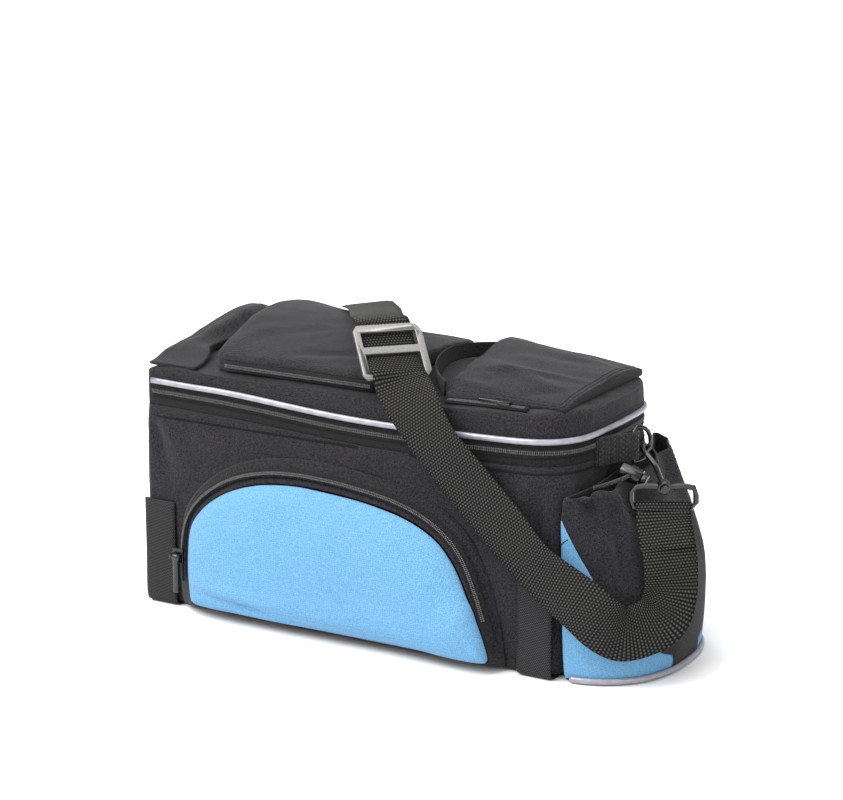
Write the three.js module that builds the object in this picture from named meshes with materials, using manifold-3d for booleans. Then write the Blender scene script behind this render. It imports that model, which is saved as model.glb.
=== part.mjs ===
// Bicycle rack bag: a soft box with a zipped lid, a pocket on each side and on the right end, and a
// shoulder strap.
// Millimetres, +Z up. +X is the right end with the gathered pocket, and -Y is the side that faces the viewer.
import * as THREE from 'three';
import { mergeVertices } from 'three/addons/utils/BufferGeometryUtils.js';
import Module from 'manifold-3d';

const wasm = await Module();
wasm.setup();

// Clearance and cloth
const gap = 0.35;
const bodyWall = 2.5;
const pocketWall = 1.6;
const stripWall = 1.4;

// Body
const bodyLength = 348;
const bodyWidth = 155;
const bodyHeight = 148;
const rimCornerRadius = 34;
const sideBow = 3;
const endBow = 6;

// Lid and the zip below it
const zipBandHeight = 14;
const lidBandLeft = 14;
const lidBandRight = 22;
const lidCrown = 11;
const lidPipingRadius = 2.1;
const leftRise = 4;
const strapDip = 4;
const dipPlace = 35;
const dipReach = 60;

// Pocket on the left half of the lid
const topPocketLength = 168;
const topPocketDepth = 136;
const topPocketRise = 29;
const topPocketRight = 31;

// Slip pouch on the right half of the lid
const pouchLength = 100;
const pouchDepth = 136;
const pouchThickness = 11;
const pouchRight = 166;
const lipHeight = 11;

// Carry handle across the left end of the lid
const handleEndWidth = 42;
const handleGripWidth = 24;
const handleRise = 17;
const handleInset = 2;

// Arched pocket on each side
const sidePocketLength = 270;
const sidePocketHeight = 124;
const sidePocketDepth = 24;
const sidePocketOffset = -5;
const gussetWidth = 12;
const pullLength = 26;

// Gathered pocket on the right end
const endPocketReach = 60;
const endPocketHeight = bodyHeight - 4;
const endPocketWidth = 150;
const gatherDepth = 3;
const gatherCount = 6;
const endPipingRadius = 2.1;
const strapDent = 7;

// Webbing, ring, hook and buckle
const strapWidth = 38;
const strapThickness = 1.7;
const rackStrapWidth = 27;
const rackStrapThickness = 1.8;
const rackStrapHeight = 82;
const ringWire = 1.7;
const ringRadius = 11;
const hookWire = 1.9;
const hookLength = 51;
const loopWire = 2.1;
const tabWidth = 20;
const buckleWidth = 50;
const buckleLength = 45;
const buckleThickness = 3;
const cordRadius = 1.5;
const lockRadius = 6;
const lockLength = 15;

// Heights that follow from the sizes above
const baseZ = rackStrapThickness + gap;
const bodyTop = baseZ + bodyHeight;
const zipBandBase = bodyTop + gap;
const lidRim = zipBandBase + zipBandHeight + gap;
const halfLength = bodyLength / 2;
const halfWidth = bodyWidth / 2;

const cloth = new THREE.MeshStandardMaterial({ color: 0x242327, roughness: 0.9 });
const blueCloth = new THREE.MeshStandardMaterial({ color: 0x7cc4f0, roughness: 0.75 });
const webbing = new THREE.MeshStandardMaterial({ color: 0x1b1a1a, roughness: 0.8 });
const zipTape = new THREE.MeshStandardMaterial({ color: 0x161617, roughness: 0.6 });
const reflective = new THREE.MeshStandardMaterial({ color: 0xa9a6b0, roughness: 0.4, metalness: 0.2 });
const satinMetal = new THREE.MeshStandardMaterial({ color: 0x9c9896, roughness: 0.35, metalness: 0.7 });
const blackPlastic = new THREE.MeshStandardMaterial({ color: 0x151517, roughness: 0.3 });

const bag = new THREE.Group();

const point = (x, y, z) => new THREE.Vector3(x, y, z);
const mix = THREE.MathUtils.lerp;
const ease = THREE.MathUtils.smoothstep;

function addPiece(name, geometry, material) {
  const piece = new THREE.Mesh(geometry, material);
  piece.name = name;
  bag.add(piece);
  return piece;
}

// Turns a mesh outside out when its faces point inwards.
function facingOut(geometry) {
  const place = geometry.getAttribute('position');
  const index = geometry.getIndex();
  const [a, b, c] = [point(), point(), point()];
  let volume = 0;
  for (let i = 0; i < index.count; i += 3) {
    a.fromBufferAttribute(place, index.getX(i));
    b.fromBufferAttribute(place, index.getX(i + 1));
    c.fromBufferAttribute(place, index.getX(i + 2));
    volume += a.dot(b.cross(c));
  }
  if (volume < 0) {
    for (let i = 0; i < index.count; i += 3) {
      const first = index.getX(i);
      index.setX(i, index.getX(i + 1));
      index.setX(i + 1, first);
    }
  }
  return geometry;
}

// Closed body through rings of points, with its two ends capped, or joined to each other.
function skin(rings, endsJoined = false) {
  const count = rings[0].length;
  const places = rings.flat().flatMap((p) => [p.x, p.y, p.z]);
  const faces = [];
  const spans = endsJoined ? rings.length : rings.length - 1;
  for (let r = 0; r < spans; r += 1) {
    const low = r * count;
    const high = ((r + 1) % rings.length) * count;
    for (let i = 0; i < count; i += 1) {
      const next = (i + 1) % count;
      faces.push(low + i, low + next, high + next, low + i, high + next, high + i);
    }
  }
  if (!endsJoined) {
    [0, rings.length - 1].forEach((r) => {
      const middle = rings[r].reduce((sum, p) => sum.add(p), point()).divideScalar(count);
      const hub = places.length / 3;
      places.push(middle.x, middle.y, middle.z);
      for (let i = 0; i < count; i += 1) {
        const next = (i + 1) % count;
        const edge = r === 0 ? [next, i] : [i, next];
        faces.push(hub, r * count + edge[0], r * count + edge[1]);
      }
    });
  }
  const geometry = new THREE.BufferGeometry();
  geometry.setAttribute('position', new THREE.Float32BufferAttribute(places, 3));
  geometry.setIndex(faces);
  return facingOut(geometry);
}

// A strip of webbing or tape through stations that hold a place, the direction across it and its width.
function ribbon(stations, thickness) {
  const rings = stations.map((station, i) => {
    const before = stations[Math.max(i - 1, 0)].at;
    const after = stations[Math.min(i + 1, stations.length - 1)].at;
    const along = after.clone().sub(before).normalize();
    const across = station.across.clone().addScaledVector(along, -station.across.dot(along)).normalize();
    const face = along.clone().cross(across);
    const half = station.width / 2;
    const deep = (station.thickness ?? thickness) / 2;
    return [[-half, -deep], [half, -deep], [half, deep], [-half, deep]]
      .map(([w, t]) => station.at.clone().addScaledVector(across, w).addScaledVector(face, t));
  });
  return skin(rings);
}

// Round bar along a route, closed on itself or with two flat ends.
function roundBar(points, radius, { closed = false, sides = 6, steps = 30 } = {}) {
  const circle = new THREE.Shape();
  for (let i = 0; i < sides; i += 1) {
    const turn = (i / sides) * Math.PI * 2;
    const corner = [radius * Math.cos(turn), radius * Math.sin(turn)];
    if (i === 0) circle.moveTo(...corner);
    else circle.lineTo(...corner);
  }
  circle.closePath();
  const route = new THREE.CatmullRomCurve3(points, closed, 'centripetal');
  return new THREE.ExtrudeGeometry(circle, { steps, extrudePath: route, bevelEnabled: false });
}

function toSolid(geometry) {
  const bare = geometry.clone();
  ['normal', 'uv'].forEach((name) => bare.deleteAttribute(name));
  const merged = mergeVertices(bare, 1e-4);
  return new wasm.Manifold(new wasm.Mesh({
    numProp: 3,
    vertProperties: new Float32Array(merged.getAttribute('position').array),
    triVerts: new Uint32Array(merged.getIndex().array),
  }));
}

// The same body mirrored through a plane, given as the scale along each axis.
function mirrored(geometry, x, y, z) {
  const flipped = geometry.scale(x, y, z);
  return facingOut(flipped.index ? flipped : mergeVertices(flipped, 1e-4));
}

function toGeometry(solid) {
  const mesh = solid.getMesh();
  const geometry = new THREE.BufferGeometry();
  geometry.setAttribute('position', new THREE.Float32BufferAttribute(mesh.vertProperties, 3));
  geometry.setIndex(Array.from(mesh.triVerts));
  return geometry;
}

// Steps of the outline below, and where its two left corners turn from the long sides to the left end.
const cornerSteps = 4;
const sideSteps = 6;
const frontLeftCorner = cornerSteps - 1;
const backLeftCorner = 3 * (cornerSteps + sideSteps) + 1;

// Rounded outline seen from above, with its long sides and its right end bowed outwards.
function bagOutline({ left, right, half, leftRadius, rightRadius, bow = 0, end = 0 }) {
  const outline = [];
  const corner = (cx, cy, radius, start) => {
    for (let i = 0; i <= cornerSteps; i += 1) {
      const turn = start + (i / cornerSteps) * (Math.PI / 2);
      outline.push([cx + radius * Math.cos(turn), cy + radius * Math.sin(turn)]);
    }
  };
  const side = (from, to) => {
    for (let i = 1; i < sideSteps; i += 1) {
      outline.push([mix(from[0], to[0], i / sideSteps), mix(from[1], to[1], i / sideSteps)]);
    }
  };
  corner(-left + leftRadius, -half + leftRadius, leftRadius, Math.PI);
  side([-left + leftRadius, -half], [right - rightRadius, -half]);
  corner(right - rightRadius, -half + rightRadius, rightRadius, -Math.PI / 2);
  side([right, -half + rightRadius], [right, half - rightRadius]);
  corner(right - rightRadius, half - rightRadius, rightRadius, 0);
  side([right - rightRadius, half], [-left + leftRadius, half]);
  corner(-left + leftRadius, half - leftRadius, leftRadius, Math.PI / 2);
  side([-left, half - leftRadius], [-left, -half + leftRadius]);
  return outline.map(([x, y]) => {
    const alongX = Math.cos((Math.PI / 2) * THREE.MathUtils.clamp(x / right, -1, 1));
    const alongY = Math.cos((Math.PI / 2) * THREE.MathUtils.clamp(y / half, -1, 1));
    const endOut = x > 0 ? end * alongY * (x / right) ** 4 : 0;
    return [x + endOut, y + Math.sign(y) * bow * alongX * (Math.abs(y) / half) ** 4];
  });
}

// The upper rim dips where the shoulder strap pulls on it, and rises a little towards the left end.
function rimWave(x, y) {
  const front = THREE.MathUtils.clamp(0.5 - y / bodyWidth, 0, 1);
  const rise = leftRise * ease(-x / halfLength, 0, 1);
  return rise - strapDip * front * Math.exp(-(((x - dipPlace) / dipReach) ** 2));
}

const rimShare = { left: 1.006, right: 0.985, half: 0.99 };
const leftCornerRadius = rimCornerRadius * 0.22;

function rimOutline(inset = 0) {
  return bagOutline({
    left: halfLength * rimShare.left - inset,
    right: halfLength * rimShare.right - inset,
    half: halfWidth * rimShare.half - inset,
    leftRadius: Math.max(leftCornerRadius - inset, 1),
    rightRadius: Math.max(rimCornerRadius - inset, 1),
    end: endBow,
  });
}

// Body: rows from the base to the rim, as shares of the height, the two half lengths, the half width,
// the rim's corner radius and the two bows.
const bodySections = [
  { up: 0, left: 1, right: 0.985, half: 0.965, radius: 0.42, bow: 0, end: 0 },
  { up: 0.045, left: 1.012, right: 1, half: 0.99, radius: 0.38, bow: 0.3, end: 0 },
  { up: 0.35, left: 1.012, right: 1, half: 1, radius: 0.36, bow: 1, end: 0.2 },
  { up: 0.75, left: 1.012, right: 0.99, half: 1, radius: 0.42, bow: 0.7, end: 0.6 },
  { up: 0.92, left: 1.01, right: 0.987, half: 0.995, radius: 0.75, bow: 0.2, end: 0.9 },
  { up: 1, ...rimShare, radius: 1, bow: 0, end: 1 },
];

function bodyRing(row, inset, lift = 0) {
  const outline = bagOutline({
    left: halfLength * row.left - inset,
    right: halfLength * row.right - inset,
    half: halfWidth * row.half - inset,
    leftRadius: Math.max(leftCornerRadius - inset, 1),
    rightRadius: Math.max(rimCornerRadius * row.radius - inset, 1),
    bow: sideBow * row.bow,
    end: endBow * row.end,
  });
  const level = baseZ + bodyHeight * row.up + lift;
  return outline.map(([x, y]) => point(x, y, level + rimWave(x, y) * row.up ** 3));
}

const outerBody = bodySections.map((row) => bodyRing(row, 0));
const innerBody = bodySections.map((row, i) => bodyRing(row, bodyWall, i === 0 ? bodyWall : 0)).reverse();
addPiece('body_shell', skin([...outerBody, ...innerBody]), cloth);

// How far the body's side face lies from the middle plane, at a place along it and a height. Its rounded foot
// counts as upright.
function sideFace(x, z) {
  const up = THREE.MathUtils.clamp((z - baseZ) / bodyHeight, bodySections[1].up, 1);
  const upper = Math.max(bodySections.findIndex((row) => row.up >= up), 2);
  const [low, high] = [bodySections[upper - 1], bodySections[upper]];
  const bow = sideBow * Math.cos((Math.PI / 2) * THREE.MathUtils.clamp(x / halfLength, -1, 1));
  const share = (up - low.up) / (high.up - low.up);
  return mix(halfWidth * low.half + bow * low.bow, halfWidth * high.half + bow * high.bow, share);
}

// Zip band and lid hinge: the wall between body and lid, cut where the left corners begin.
function bandStrip(from, to, low, high, wall) {
  const outer = rimOutline(0);
  const inner = rimOutline(wall);
  const rings = [];
  for (let i = from; i <= to; i += 1) {
    const k = (i + outer.length) % outer.length;
    const [[ox, oy], [ix, iy]] = [outer[k], inner[k]];
    rings.push([
      point(ox, oy, low + rimWave(ox, oy)),
      point(ox, oy, high + rimWave(ox, oy)),
      point(ix, iy, high + rimWave(ox, oy)),
      point(ix, iy, low + rimWave(ox, oy)),
    ]);
  }
  return rings;
}

const outlineCount = rimOutline().length;
const zipRings = bandStrip(frontLeftCorner, backLeftCorner, zipBandBase, lidRim - gap, bodyWall);
addPiece('main_zipper', skin(zipRings), zipTape);
const hingeEnd = outlineCount + frontLeftCorner;
const hingeRings = bandStrip(backLeftCorner, hingeEnd, zipBandBase, lidRim - gap, bodyWall);
[[hingeRings[0], hingeRings[1]], [hingeRings.at(-1), hingeRings.at(-2)]].forEach(([ring, neighbour]) => {
  ring.forEach((p, k) => p.add(neighbour[k].clone().sub(p).setLength(gap)));
});
addPiece('lid_hinge', skin(hingeRings), cloth);

// Height of the lid's top edge, and of its crowned top, at a place on its plan.
function lidEdge(x, y) {
  const along = THREE.MathUtils.clamp((x + halfLength) / bodyLength, 0, 1);
  return lidRim + mix(lidBandLeft, lidBandRight, along) + rimWave(x, y) * 0.6;
}

function lidTop(x, y) {
  const far = THREE.MathUtils.clamp(Math.abs(x) / halfLength, 0, 1);
  const wide = THREE.MathUtils.clamp(Math.abs(y) / halfWidth, 0, 1);
  return lidEdge(x, y) + lidCrown * (1 - far ** 3) * (1 - wide ** 2);
}

const lidShares = [0.985, 0.92, 0.72, 0.4];

function lidRing(share, inset, drop) {
  return rimOutline(inset).map(([x, y]) => point(x * share, y * share, lidTop(x * share, y * share) - drop));
}

function lidWallRing(inset, atTop) {
  return rimOutline(inset).map(([x, y]) => {
    const height = atTop ? lidEdge(x, y) - lidPipingRadius : lidRim + rimWave(x, y);
    return point(x, y, height);
  });
}

const outerLid = [lidWallRing(0, false), lidWallRing(0, true), ...lidShares.map((s) => lidRing(s, 0, 0))];
const innerLid = [
  lidWallRing(bodyWall, false),
  lidWallRing(bodyWall, true),
  ...lidShares.map((s) => lidRing(s, bodyWall, bodyWall)),
];
addPiece('lid_shell', skin([...innerLid.reverse(), ...outerLid]), cloth);

// Piping round the lid's lower edge, from one left corner to the other.
const pipingOffset = lidPipingRadius + 3 * gap;
const lidPipingRoute = rimOutline(-pipingOffset).slice(frontLeftCorner + 1, backLeftCorner)
  .map(([x, y]) => point(x, y, lidRim + 2 * lidPipingRadius + rimWave(x, y)));
addPiece('lid_piping', roundBar(lidPipingRoute, lidPipingRadius, { steps: 44 }), reflective);

// Soft box on the lid: an outline, a height above the lid at each place, and a wall open below.
function lidBox(outline, rise, shares, wall) {
  const count = outline.length;
  const middle = outline.reduce(([sx, sy], [x, y]) => [sx + x / count, sy + y / count], [0, 0]);
  const ring = (share, lift, inset, drop) => outline.map(([x, y]) => {
    const away = Math.hypot(x - middle[0], y - middle[1]);
    const scale = share * (1 - inset / away);
    const px = middle[0] + (x - middle[0]) * scale;
    const py = middle[1] + (y - middle[1]) * scale;
    return point(px, py, lidTop(px, py) + 2 * gap + rise(px, py) * lift - drop);
  });
  const outer = [ring(1, 0, 0, 0), ...shares.map(([share, lift]) => ring(share, lift, 0, 0))];
  const inner = [ring(1, 0, wall, 0), ...shares.map(([share, lift]) => ring(share, lift, wall, wall))];
  return skin([...inner.reverse(), ...outer]);
}

// Outline of a four-cornered patch with rounded corners and straight sides split into steps.
function patchOutline(corners, radius, steps) {
  const outline = [];
  corners.forEach((corner, i) => {
    const before = corners[(i + corners.length - 1) % corners.length];
    const after = corners[(i + 1) % corners.length];
    const here = new THREE.Vector2(...corner);
    const back = new THREE.Vector2(...before).sub(here).normalize().multiplyScalar(radius);
    const ahead = new THREE.Vector2(...after).sub(here).normalize().multiplyScalar(radius);
    const bend = new THREE.QuadraticBezierCurve(here.clone().add(back), here, here.clone().add(ahead));
    bend.getPoints(2).forEach((p) => outline.push([p.x, p.y]));
    const to = new THREE.Vector2(...after).sub(ahead);
    const from = here.clone().add(ahead);
    for (let k = 1; k < steps; k += 1) {
      outline.push([mix(from.x, to.x, k / steps), mix(from.y, to.y, k / steps)]);
    }
  });
  return outline;
}

// Pocket on the lid's left half: low along the near side, and puffed up towards the far left corner.
const topPocketLeft = topPocketRight - topPocketLength;
const topPocketFront = -topPocketDepth / 2;
const topPocketSlant = topPocketLength * 0.1;

function topPocketHeight(x, y) {
  const u = THREE.MathUtils.clamp((x - topPocketLeft) / topPocketLength, 0, 1);
  const v = THREE.MathUtils.clamp((y - topPocketFront) / topPocketDepth, 0, 1);
  const leftSide = mix(0.36, 1, Math.sin(v * Math.PI * 0.62));
  const rightSide = mix(0.4, 0.38, v);
  return topPocketRise * mix(leftSide, rightSide, ease(u, 0, 0.8));
}

const topPocketCorners = [
  [topPocketLeft + topPocketSlant, topPocketFront],
  [topPocketRight, topPocketFront],
  [topPocketRight, -topPocketFront],
  [topPocketLeft, -topPocketFront],
];
const topPocketPlan = patchOutline(topPocketCorners, 12, 5);
const topPocketShares = [[0.995, 0.8], [0.96, 0.97], [0.8, 1.03], [0.45, 1.05]];
addPiece('top_pocket', lidBox(topPocketPlan, topPocketHeight, topPocketShares, pocketWall), cloth);

// Zip tape along the near side of the pocket.
const zipTapeHeight = 7;
const topZipStations = [];
for (let i = 0; i <= 10; i += 1) {
  const x = mix(topPocketCorners[0][0] + 12, topPocketRight - 12, i / 10);
  const y = topPocketFront - stripWall / 2 - gap;
  const height = lidTop(x, y) + 2 * gap + topPocketHeight(x, y) * 0.42;
  topZipStations.push({ at: point(x, y, height), across: point(0, 0, 1), width: zipTapeHeight });
}
addPiece('top_pocket_zip', ribbon(topZipStations, stripWall), zipTape);

// Slip pouch: a flat sleeve open to the left, its mouth slanting back towards the left.
const pouchLeft = pouchRight - pouchLength;
const pouchHalf = pouchDepth / 2;
const mouthSlant = pouchLength * 0.1;
const pouchFarRise = 0.8;

// A section across the pouch: along its base from near to far, then back over its top.
function pouchSection(share, inset) {
  const baseSteps = 7;
  const narrowing = mix(1, 0.9, share ** 3);
  const half = pouchHalf * narrowing - inset;
  const swell = pouchThickness * mix(1, 0.62, share) - inset;
  const low = [];
  const high = [];
  for (let i = 0; i <= baseSteps; i += 1) {
    const across = mix(-1, 1, i / baseSteps);
    const y = half * across + 2;
    const x = mix(pouchLeft + mouthSlant * (1 - across) * 0.5, pouchRight - inset, share);
    const seat = lidTop(x, y) + 2 * gap;
    const farRise = pouchFarRise * ease(across, -0.5, 0.8) * mix(1, 0.5, share);
    const crown = (1 - across ** 4) * 0.75 + 0.25 + farRise;
    low.push(point(x, y, seat + inset));
    high.push(point(x, y, seat + inset + (swell - inset) * crown));
  }
  return [...low, ...high.reverse()];
}

const pouchShares = [0, 0.2, 0.45, 0.7, 0.9, 1];
const pouchOuter = pouchShares.map((share) => pouchSection(share, 0)).reverse();
const pouchInner = pouchShares.map((share) => pouchSection(share, pocketWall));
addPiece('flap_pouch', skin([...pouchOuter, ...pouchInner]), cloth);

// Lip of the pouch: its lower cloth turned up beyond the mouth. Rows: place from near to far, and bulge to
// the left.
const lipRows = [
  { across: -0.94, bulge: 0 },
  { across: -0.72, bulge: 0.5 },
  { across: -0.4, bulge: 0.82 },
  { across: 0, bulge: 1 },
  { across: 0.35, bulge: 0.88 },
  { across: 0.65, bulge: 0.5 },
  { across: 0.92, bulge: 0 },
];
const lipBulge = pouchLength * 0.3;
const lipStandOff = pocketWall / 2 + gap;
const lipStations = lipRows.map(({ across, bulge }) => {
  const y = pouchHalf * across + 2;
  const x = Math.max(
    pouchLeft + mouthSlant * (1 - across) * 0.5 - lipStandOff - 1 - lipBulge * bulge,
    topPocketRight + pocketWall + 2,
  );
  const lean = 0.35 * bulge;
  const seat = lidTop(x, y) + 3 * gap;
  return { at: point(x, y, seat + lipHeight / 2), across: point(-lean, 0, 1), width: lipHeight };
});
addPiece('pouch_lip', ribbon(lipStations, pocketWall), cloth);

// Short zip on the lid under the near edge of the pouch, and its slider.
const lidZipWidth = 5;
const lidZipY = -pouchHalf + 2 - lidZipWidth / 2 - gap;
const lidZipStations = [];
for (let i = 0; i <= 6; i += 1) {
  const x = mix(pouchLeft + 12, pouchRight - 24, i / 6);
  const height = lidTop(x, lidZipY) + stripWall / 2 + 2 * gap;
  lidZipStations.push({ at: point(x, lidZipY, height), across: point(0, 1, 0.28), width: lidZipWidth });
}
addPiece('lid_zip', ribbon(lidZipStations, stripWall), zipTape);

const lidSliderLength = 9;
const lidSliderX = mix(lidZipStations[0].at.x, lidZipStations.at(-1).at.x, 0.72);
const lidSliderSeat = lidTop(lidSliderX, lidZipY) + stripWall + 4 * gap;
const lidSlider = new THREE.BoxGeometry(lidSliderLength, 4, 2.4);
lidSlider.translate(lidSliderX, lidZipY, lidSliderSeat + 1.2);
const lidSliderRod = new THREE.BoxGeometry(lidSliderLength * 2, 1.8, 1.4);
lidSliderRod.translate(lidSliderX - lidSliderLength * 1.2, lidZipY, lidSliderSeat + 1.6);
addPiece('lid_zip_slider', toGeometry(toSolid(lidSlider).add(toSolid(lidSliderRod))), blackPlastic);

// Carry handle: rows from near to far. along is a share of the half width, up of the rise,
// grip is 0 at the flat sewn ends and 1 at the folded grip.
const handleRows = [
  { along: -0.95, up: 0, grip: 0 },
  { along: -0.8, up: 0, grip: 0 },
  { along: -0.66, up: 0.1, grip: 0.2 },
  { along: -0.5, up: 0.12, grip: 0.8 },
  { along: -0.3, up: 0.12, grip: 1 },
  { along: 0, up: 0.42, grip: 1 },
  { along: 0.35, up: 0.7, grip: 1 },
  { along: 0.62, up: 0.85, grip: 1 },
  { along: 0.82, up: 0.95, grip: 1 },
  { along: 0.92, up: 0.6, grip: 1 },
  { along: 0.96, up: 0.05, grip: 1 },
];
const handleThin = 2.4;
const handleThick = 6;
const handleStations = handleRows.map(({ along, up, grip }) => {
  const width = mix(handleEndWidth, handleGripWidth, grip);
  const thickness = mix(handleThin, handleThick, grip);
  const x = -halfLength * rimShare.left + handleInset + width / 2;
  const y = halfWidth * along;
  const seat = Math.max(lidTop(x - width / 2, y), lidTop(x + width / 2, y), lidTop(x, y));
  const height = seat + 2 * gap + thickness / 2 + handleRise * up;
  return { at: point(x, y, height), across: point(1, 0, 0), width, thickness };
});
addPiece('carry_handle', ribbon(handleStations, handleThin), cloth);

// Arched side pockets. Rows: place along the pocket from its left foot, and height, as shares.
const archRows = [
  { along: 0, up: 0 },
  { along: -0.004, up: 0.26 },
  { along: 0.008, up: 0.52 },
  { along: 0.03, up: 0.64 },
  { along: 0.085, up: 0.78 },
  { along: 0.2, up: 0.93 },
  { along: 0.335, up: 0.995 },
  { along: 0.48, up: 1 },
  { along: 0.7, up: 0.945 },
  { along: 0.83, up: 0.84 },
  { along: 0.905, up: 0.69 },
  { along: 0.955, up: 0.46 },
  { along: 0.985, up: 0.22 },
  { along: 1, up: 0 },
];
const archSteps = 20;
const footSteps = 5;
const pocketBase = baseZ + 1;
const archCurve = new THREE.CatmullRomCurve3(
  archRows.map(({ along, up }) => point((along - 0.5) * sidePocketLength, 0, up * sidePocketHeight)),
  false,
  'centripetal',
);
const archPoints = archCurve.getPoints(archSteps);
const archFeet = [];
for (let i = 1; i < footSteps; i += 1) {
  archFeet.push(point(mix(archPoints.at(-1).x, archPoints[0].x, i / footSteps), 0, 0));
}
const archOutline = [...archPoints, ...archFeet];

// Ring parallel to the arch, drawn in by inset and standing off the bag's side by out.
// Along the foot, and down the right side, the cloth between seam and panel is narrower.
const footShare = 0.45;
const rightShare = 0.4;

function archRing(inset, out) {
  const middle = sidePocketHeight * 0.45;
  const tallAbove = 1 - inset / (sidePocketHeight - middle);
  const tallBelow = 1 - (inset * footShare) / middle;
  return archOutline.map((p) => {
    const sideInset = inset * (p.x > 0 ? mix(rightShare, 1, Math.min(p.z / middle, 1)) : 1);
    const x = p.x * (1 - sideInset / (sidePocketLength / 2)) + sidePocketOffset;
    const z = pocketBase + Math.max(middle + (p.z - middle) * (p.z > middle ? tallAbove : tallBelow), 0);
    return point(x, -(sideFace(x, z) + gap + out), z);
  });
}

// Depth of the pocket as shares, at shares of the way in from its edge to its middle.
const domeRows = [
  { inward: 0.02, out: 0.62 },
  { inward: 0.14, out: 0.8 },
  { inward: 0.45, out: 0.95 },
  { inward: 0.85, out: 1.02 },
];

function sidePocketPieces(onFarSide) {
  const label = onFarSide ? 'back' : 'front';
  const place = (geometry) => (onFarSide ? mirrored(geometry, 1, -1, 1) : geometry);
  const seam = [
    archRing(-4, 0.2),
    archRing(gussetWidth * 0.4, sidePocketDepth * 0.26),
    archRing(gussetWidth, sidePocketDepth * 0.52),
    archRing(gussetWidth + pocketWall * 0.4, sidePocketDepth * 0.52 - pocketWall),
    archRing(gussetWidth * 0.4 + pocketWall * 0.4, sidePocketDepth * 0.26 - pocketWall),
    archRing(-3, 0),
  ];
  addPiece(`side_pocket_gusset_${label}`, place(skin(seam, true)), cloth);
  const reach = sidePocketHeight * 0.45 - gussetWidth;
  const dome = (wall) => domeRows.map(({ inward, out }) => archRing(
    gussetWidth + inward * reach,
    sidePocketDepth * out - wall,
  ));
  addPiece(`side_pocket_panel_${label}`, place(skin([...dome(pocketWall).reverse(), ...dome(0)])), blueCloth);

  const zipLine = archRing(gussetWidth * 0.36, sidePocketDepth * 0.26 + stripWall + 6 * gap);
  const zipStations = zipLine.slice(1, archSteps).map((p) => {
    const away = point(p.x - sidePocketOffset, 0, p.z - pocketBase - sidePocketHeight * 0.45).normalize();
    return { at: p, across: away.addScaledVector(point(0, 1, 0), 0.8), width: zipTapeHeight };
  });
  addPiece(`side_pocket_zip_${label}`, place(ribbon(zipStations, stripWall)), zipTape);

  // Slider with two ears and a pin, and the pull that swings on the pin.
  const sliderAt = zipStations[1].at.clone();
  const front = sliderAt.y - stripWall * 2.2 - gap;
  const earDepth = 5;
  const earGap = 5.4;
  const pinRadius = 0.9;
  const pinY = front - 2 - earDepth * 0.55;
  const plate = new THREE.BoxGeometry(9, 2, 11).translate(sliderAt.x, front - 1, sliderAt.z);
  let slider = toSolid(plate);
  [-1, 1].forEach((way) => {
    const ear = new THREE.BoxGeometry(1.4, earDepth + 0.2, 4)
      .translate(sliderAt.x + way * (earGap / 2 + 0.7), front - 2 - earDepth / 2 + 0.1, sliderAt.z);
    slider = slider.add(toSolid(ear));
  });
  const pin = new THREE.CylinderGeometry(pinRadius, pinRadius, earGap + 1, 10)
    .rotateZ(Math.PI / 2).translate(sliderAt.x, pinY, sliderAt.z);
  addPiece(`side_pocket_slider_${label}`, place(toGeometry(slider.add(toSolid(pin)))), blackPlastic);

  const eye = new THREE.CylinderGeometry(pinRadius + gap + 1.1, pinRadius + gap + 1.1, earGap - 2 * gap, 14)
    .rotateZ(Math.PI / 2).translate(sliderAt.x, pinY, sliderAt.z);
  const bore = new THREE.CylinderGeometry(pinRadius + gap, pinRadius + gap, earGap * 2, 14)
    .rotateZ(Math.PI / 2).translate(sliderAt.x, pinY, sliderAt.z);
  const tab = new THREE.BoxGeometry(earGap - 2 * gap, 1.6, pullLength)
    .translate(sliderAt.x, pinY, sliderAt.z - pinRadius - gap - 0.6 - pullLength / 2);
  const pull = toSolid(eye).add(toSolid(tab)).subtract(toSolid(bore));
  addPiece(`side_pocket_pull_${label}`, place(toGeometry(pull)), blackPlastic);
}

sidePocketPieces(false);
sidePocketPieces(true);

// Gathered end pocket. Rows from its base to its rim: shares of height, reach, half width and gather depth,
// how square its plan is, from 2 for an ellipse upwards, how far its sides lead back round the bag's
// corners, in millimetres, and how deep the shoulder strap dents it.
const endRows = [
  { up: 0, reach: 0.95, half: 0.96, gather: 0, square: 2.2, lead: 5, dent: 0 },
  { up: 0.05, reach: 1, half: 1, gather: 0, square: 2.2, lead: 6, dent: 0 },
  { up: 0.3, reach: 1.02, half: 1.01, gather: 0.1, square: 2.3, lead: 7, dent: 0.4 },
  { up: 0.55, reach: 0.96, half: 1.01, gather: 0.35, square: 2.5, lead: 8, dent: 1 },
  { up: 0.76, reach: 0.64, half: 1, gather: 0.7, square: 2.8, lead: 9, dent: 0.5 },
  { up: 0.92, reach: 0.38, half: 0.98, gather: 1, square: 3.2, lead: 11, dent: 0 },
  { up: 1, reach: 0.3, half: 0.96, gather: 1, square: 3.2, lead: 12, dent: 0 },
];
const endPocketBase = 0.6;
const endRimTilt = 7;
const endArcSteps = 24;
const endBackSteps = 5;
const leadFrom = 0.62;
const dentPlace = -0.6;
const dentReach = 0.28;
const endStart = halfLength + endBow + 2 * gap;

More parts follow.
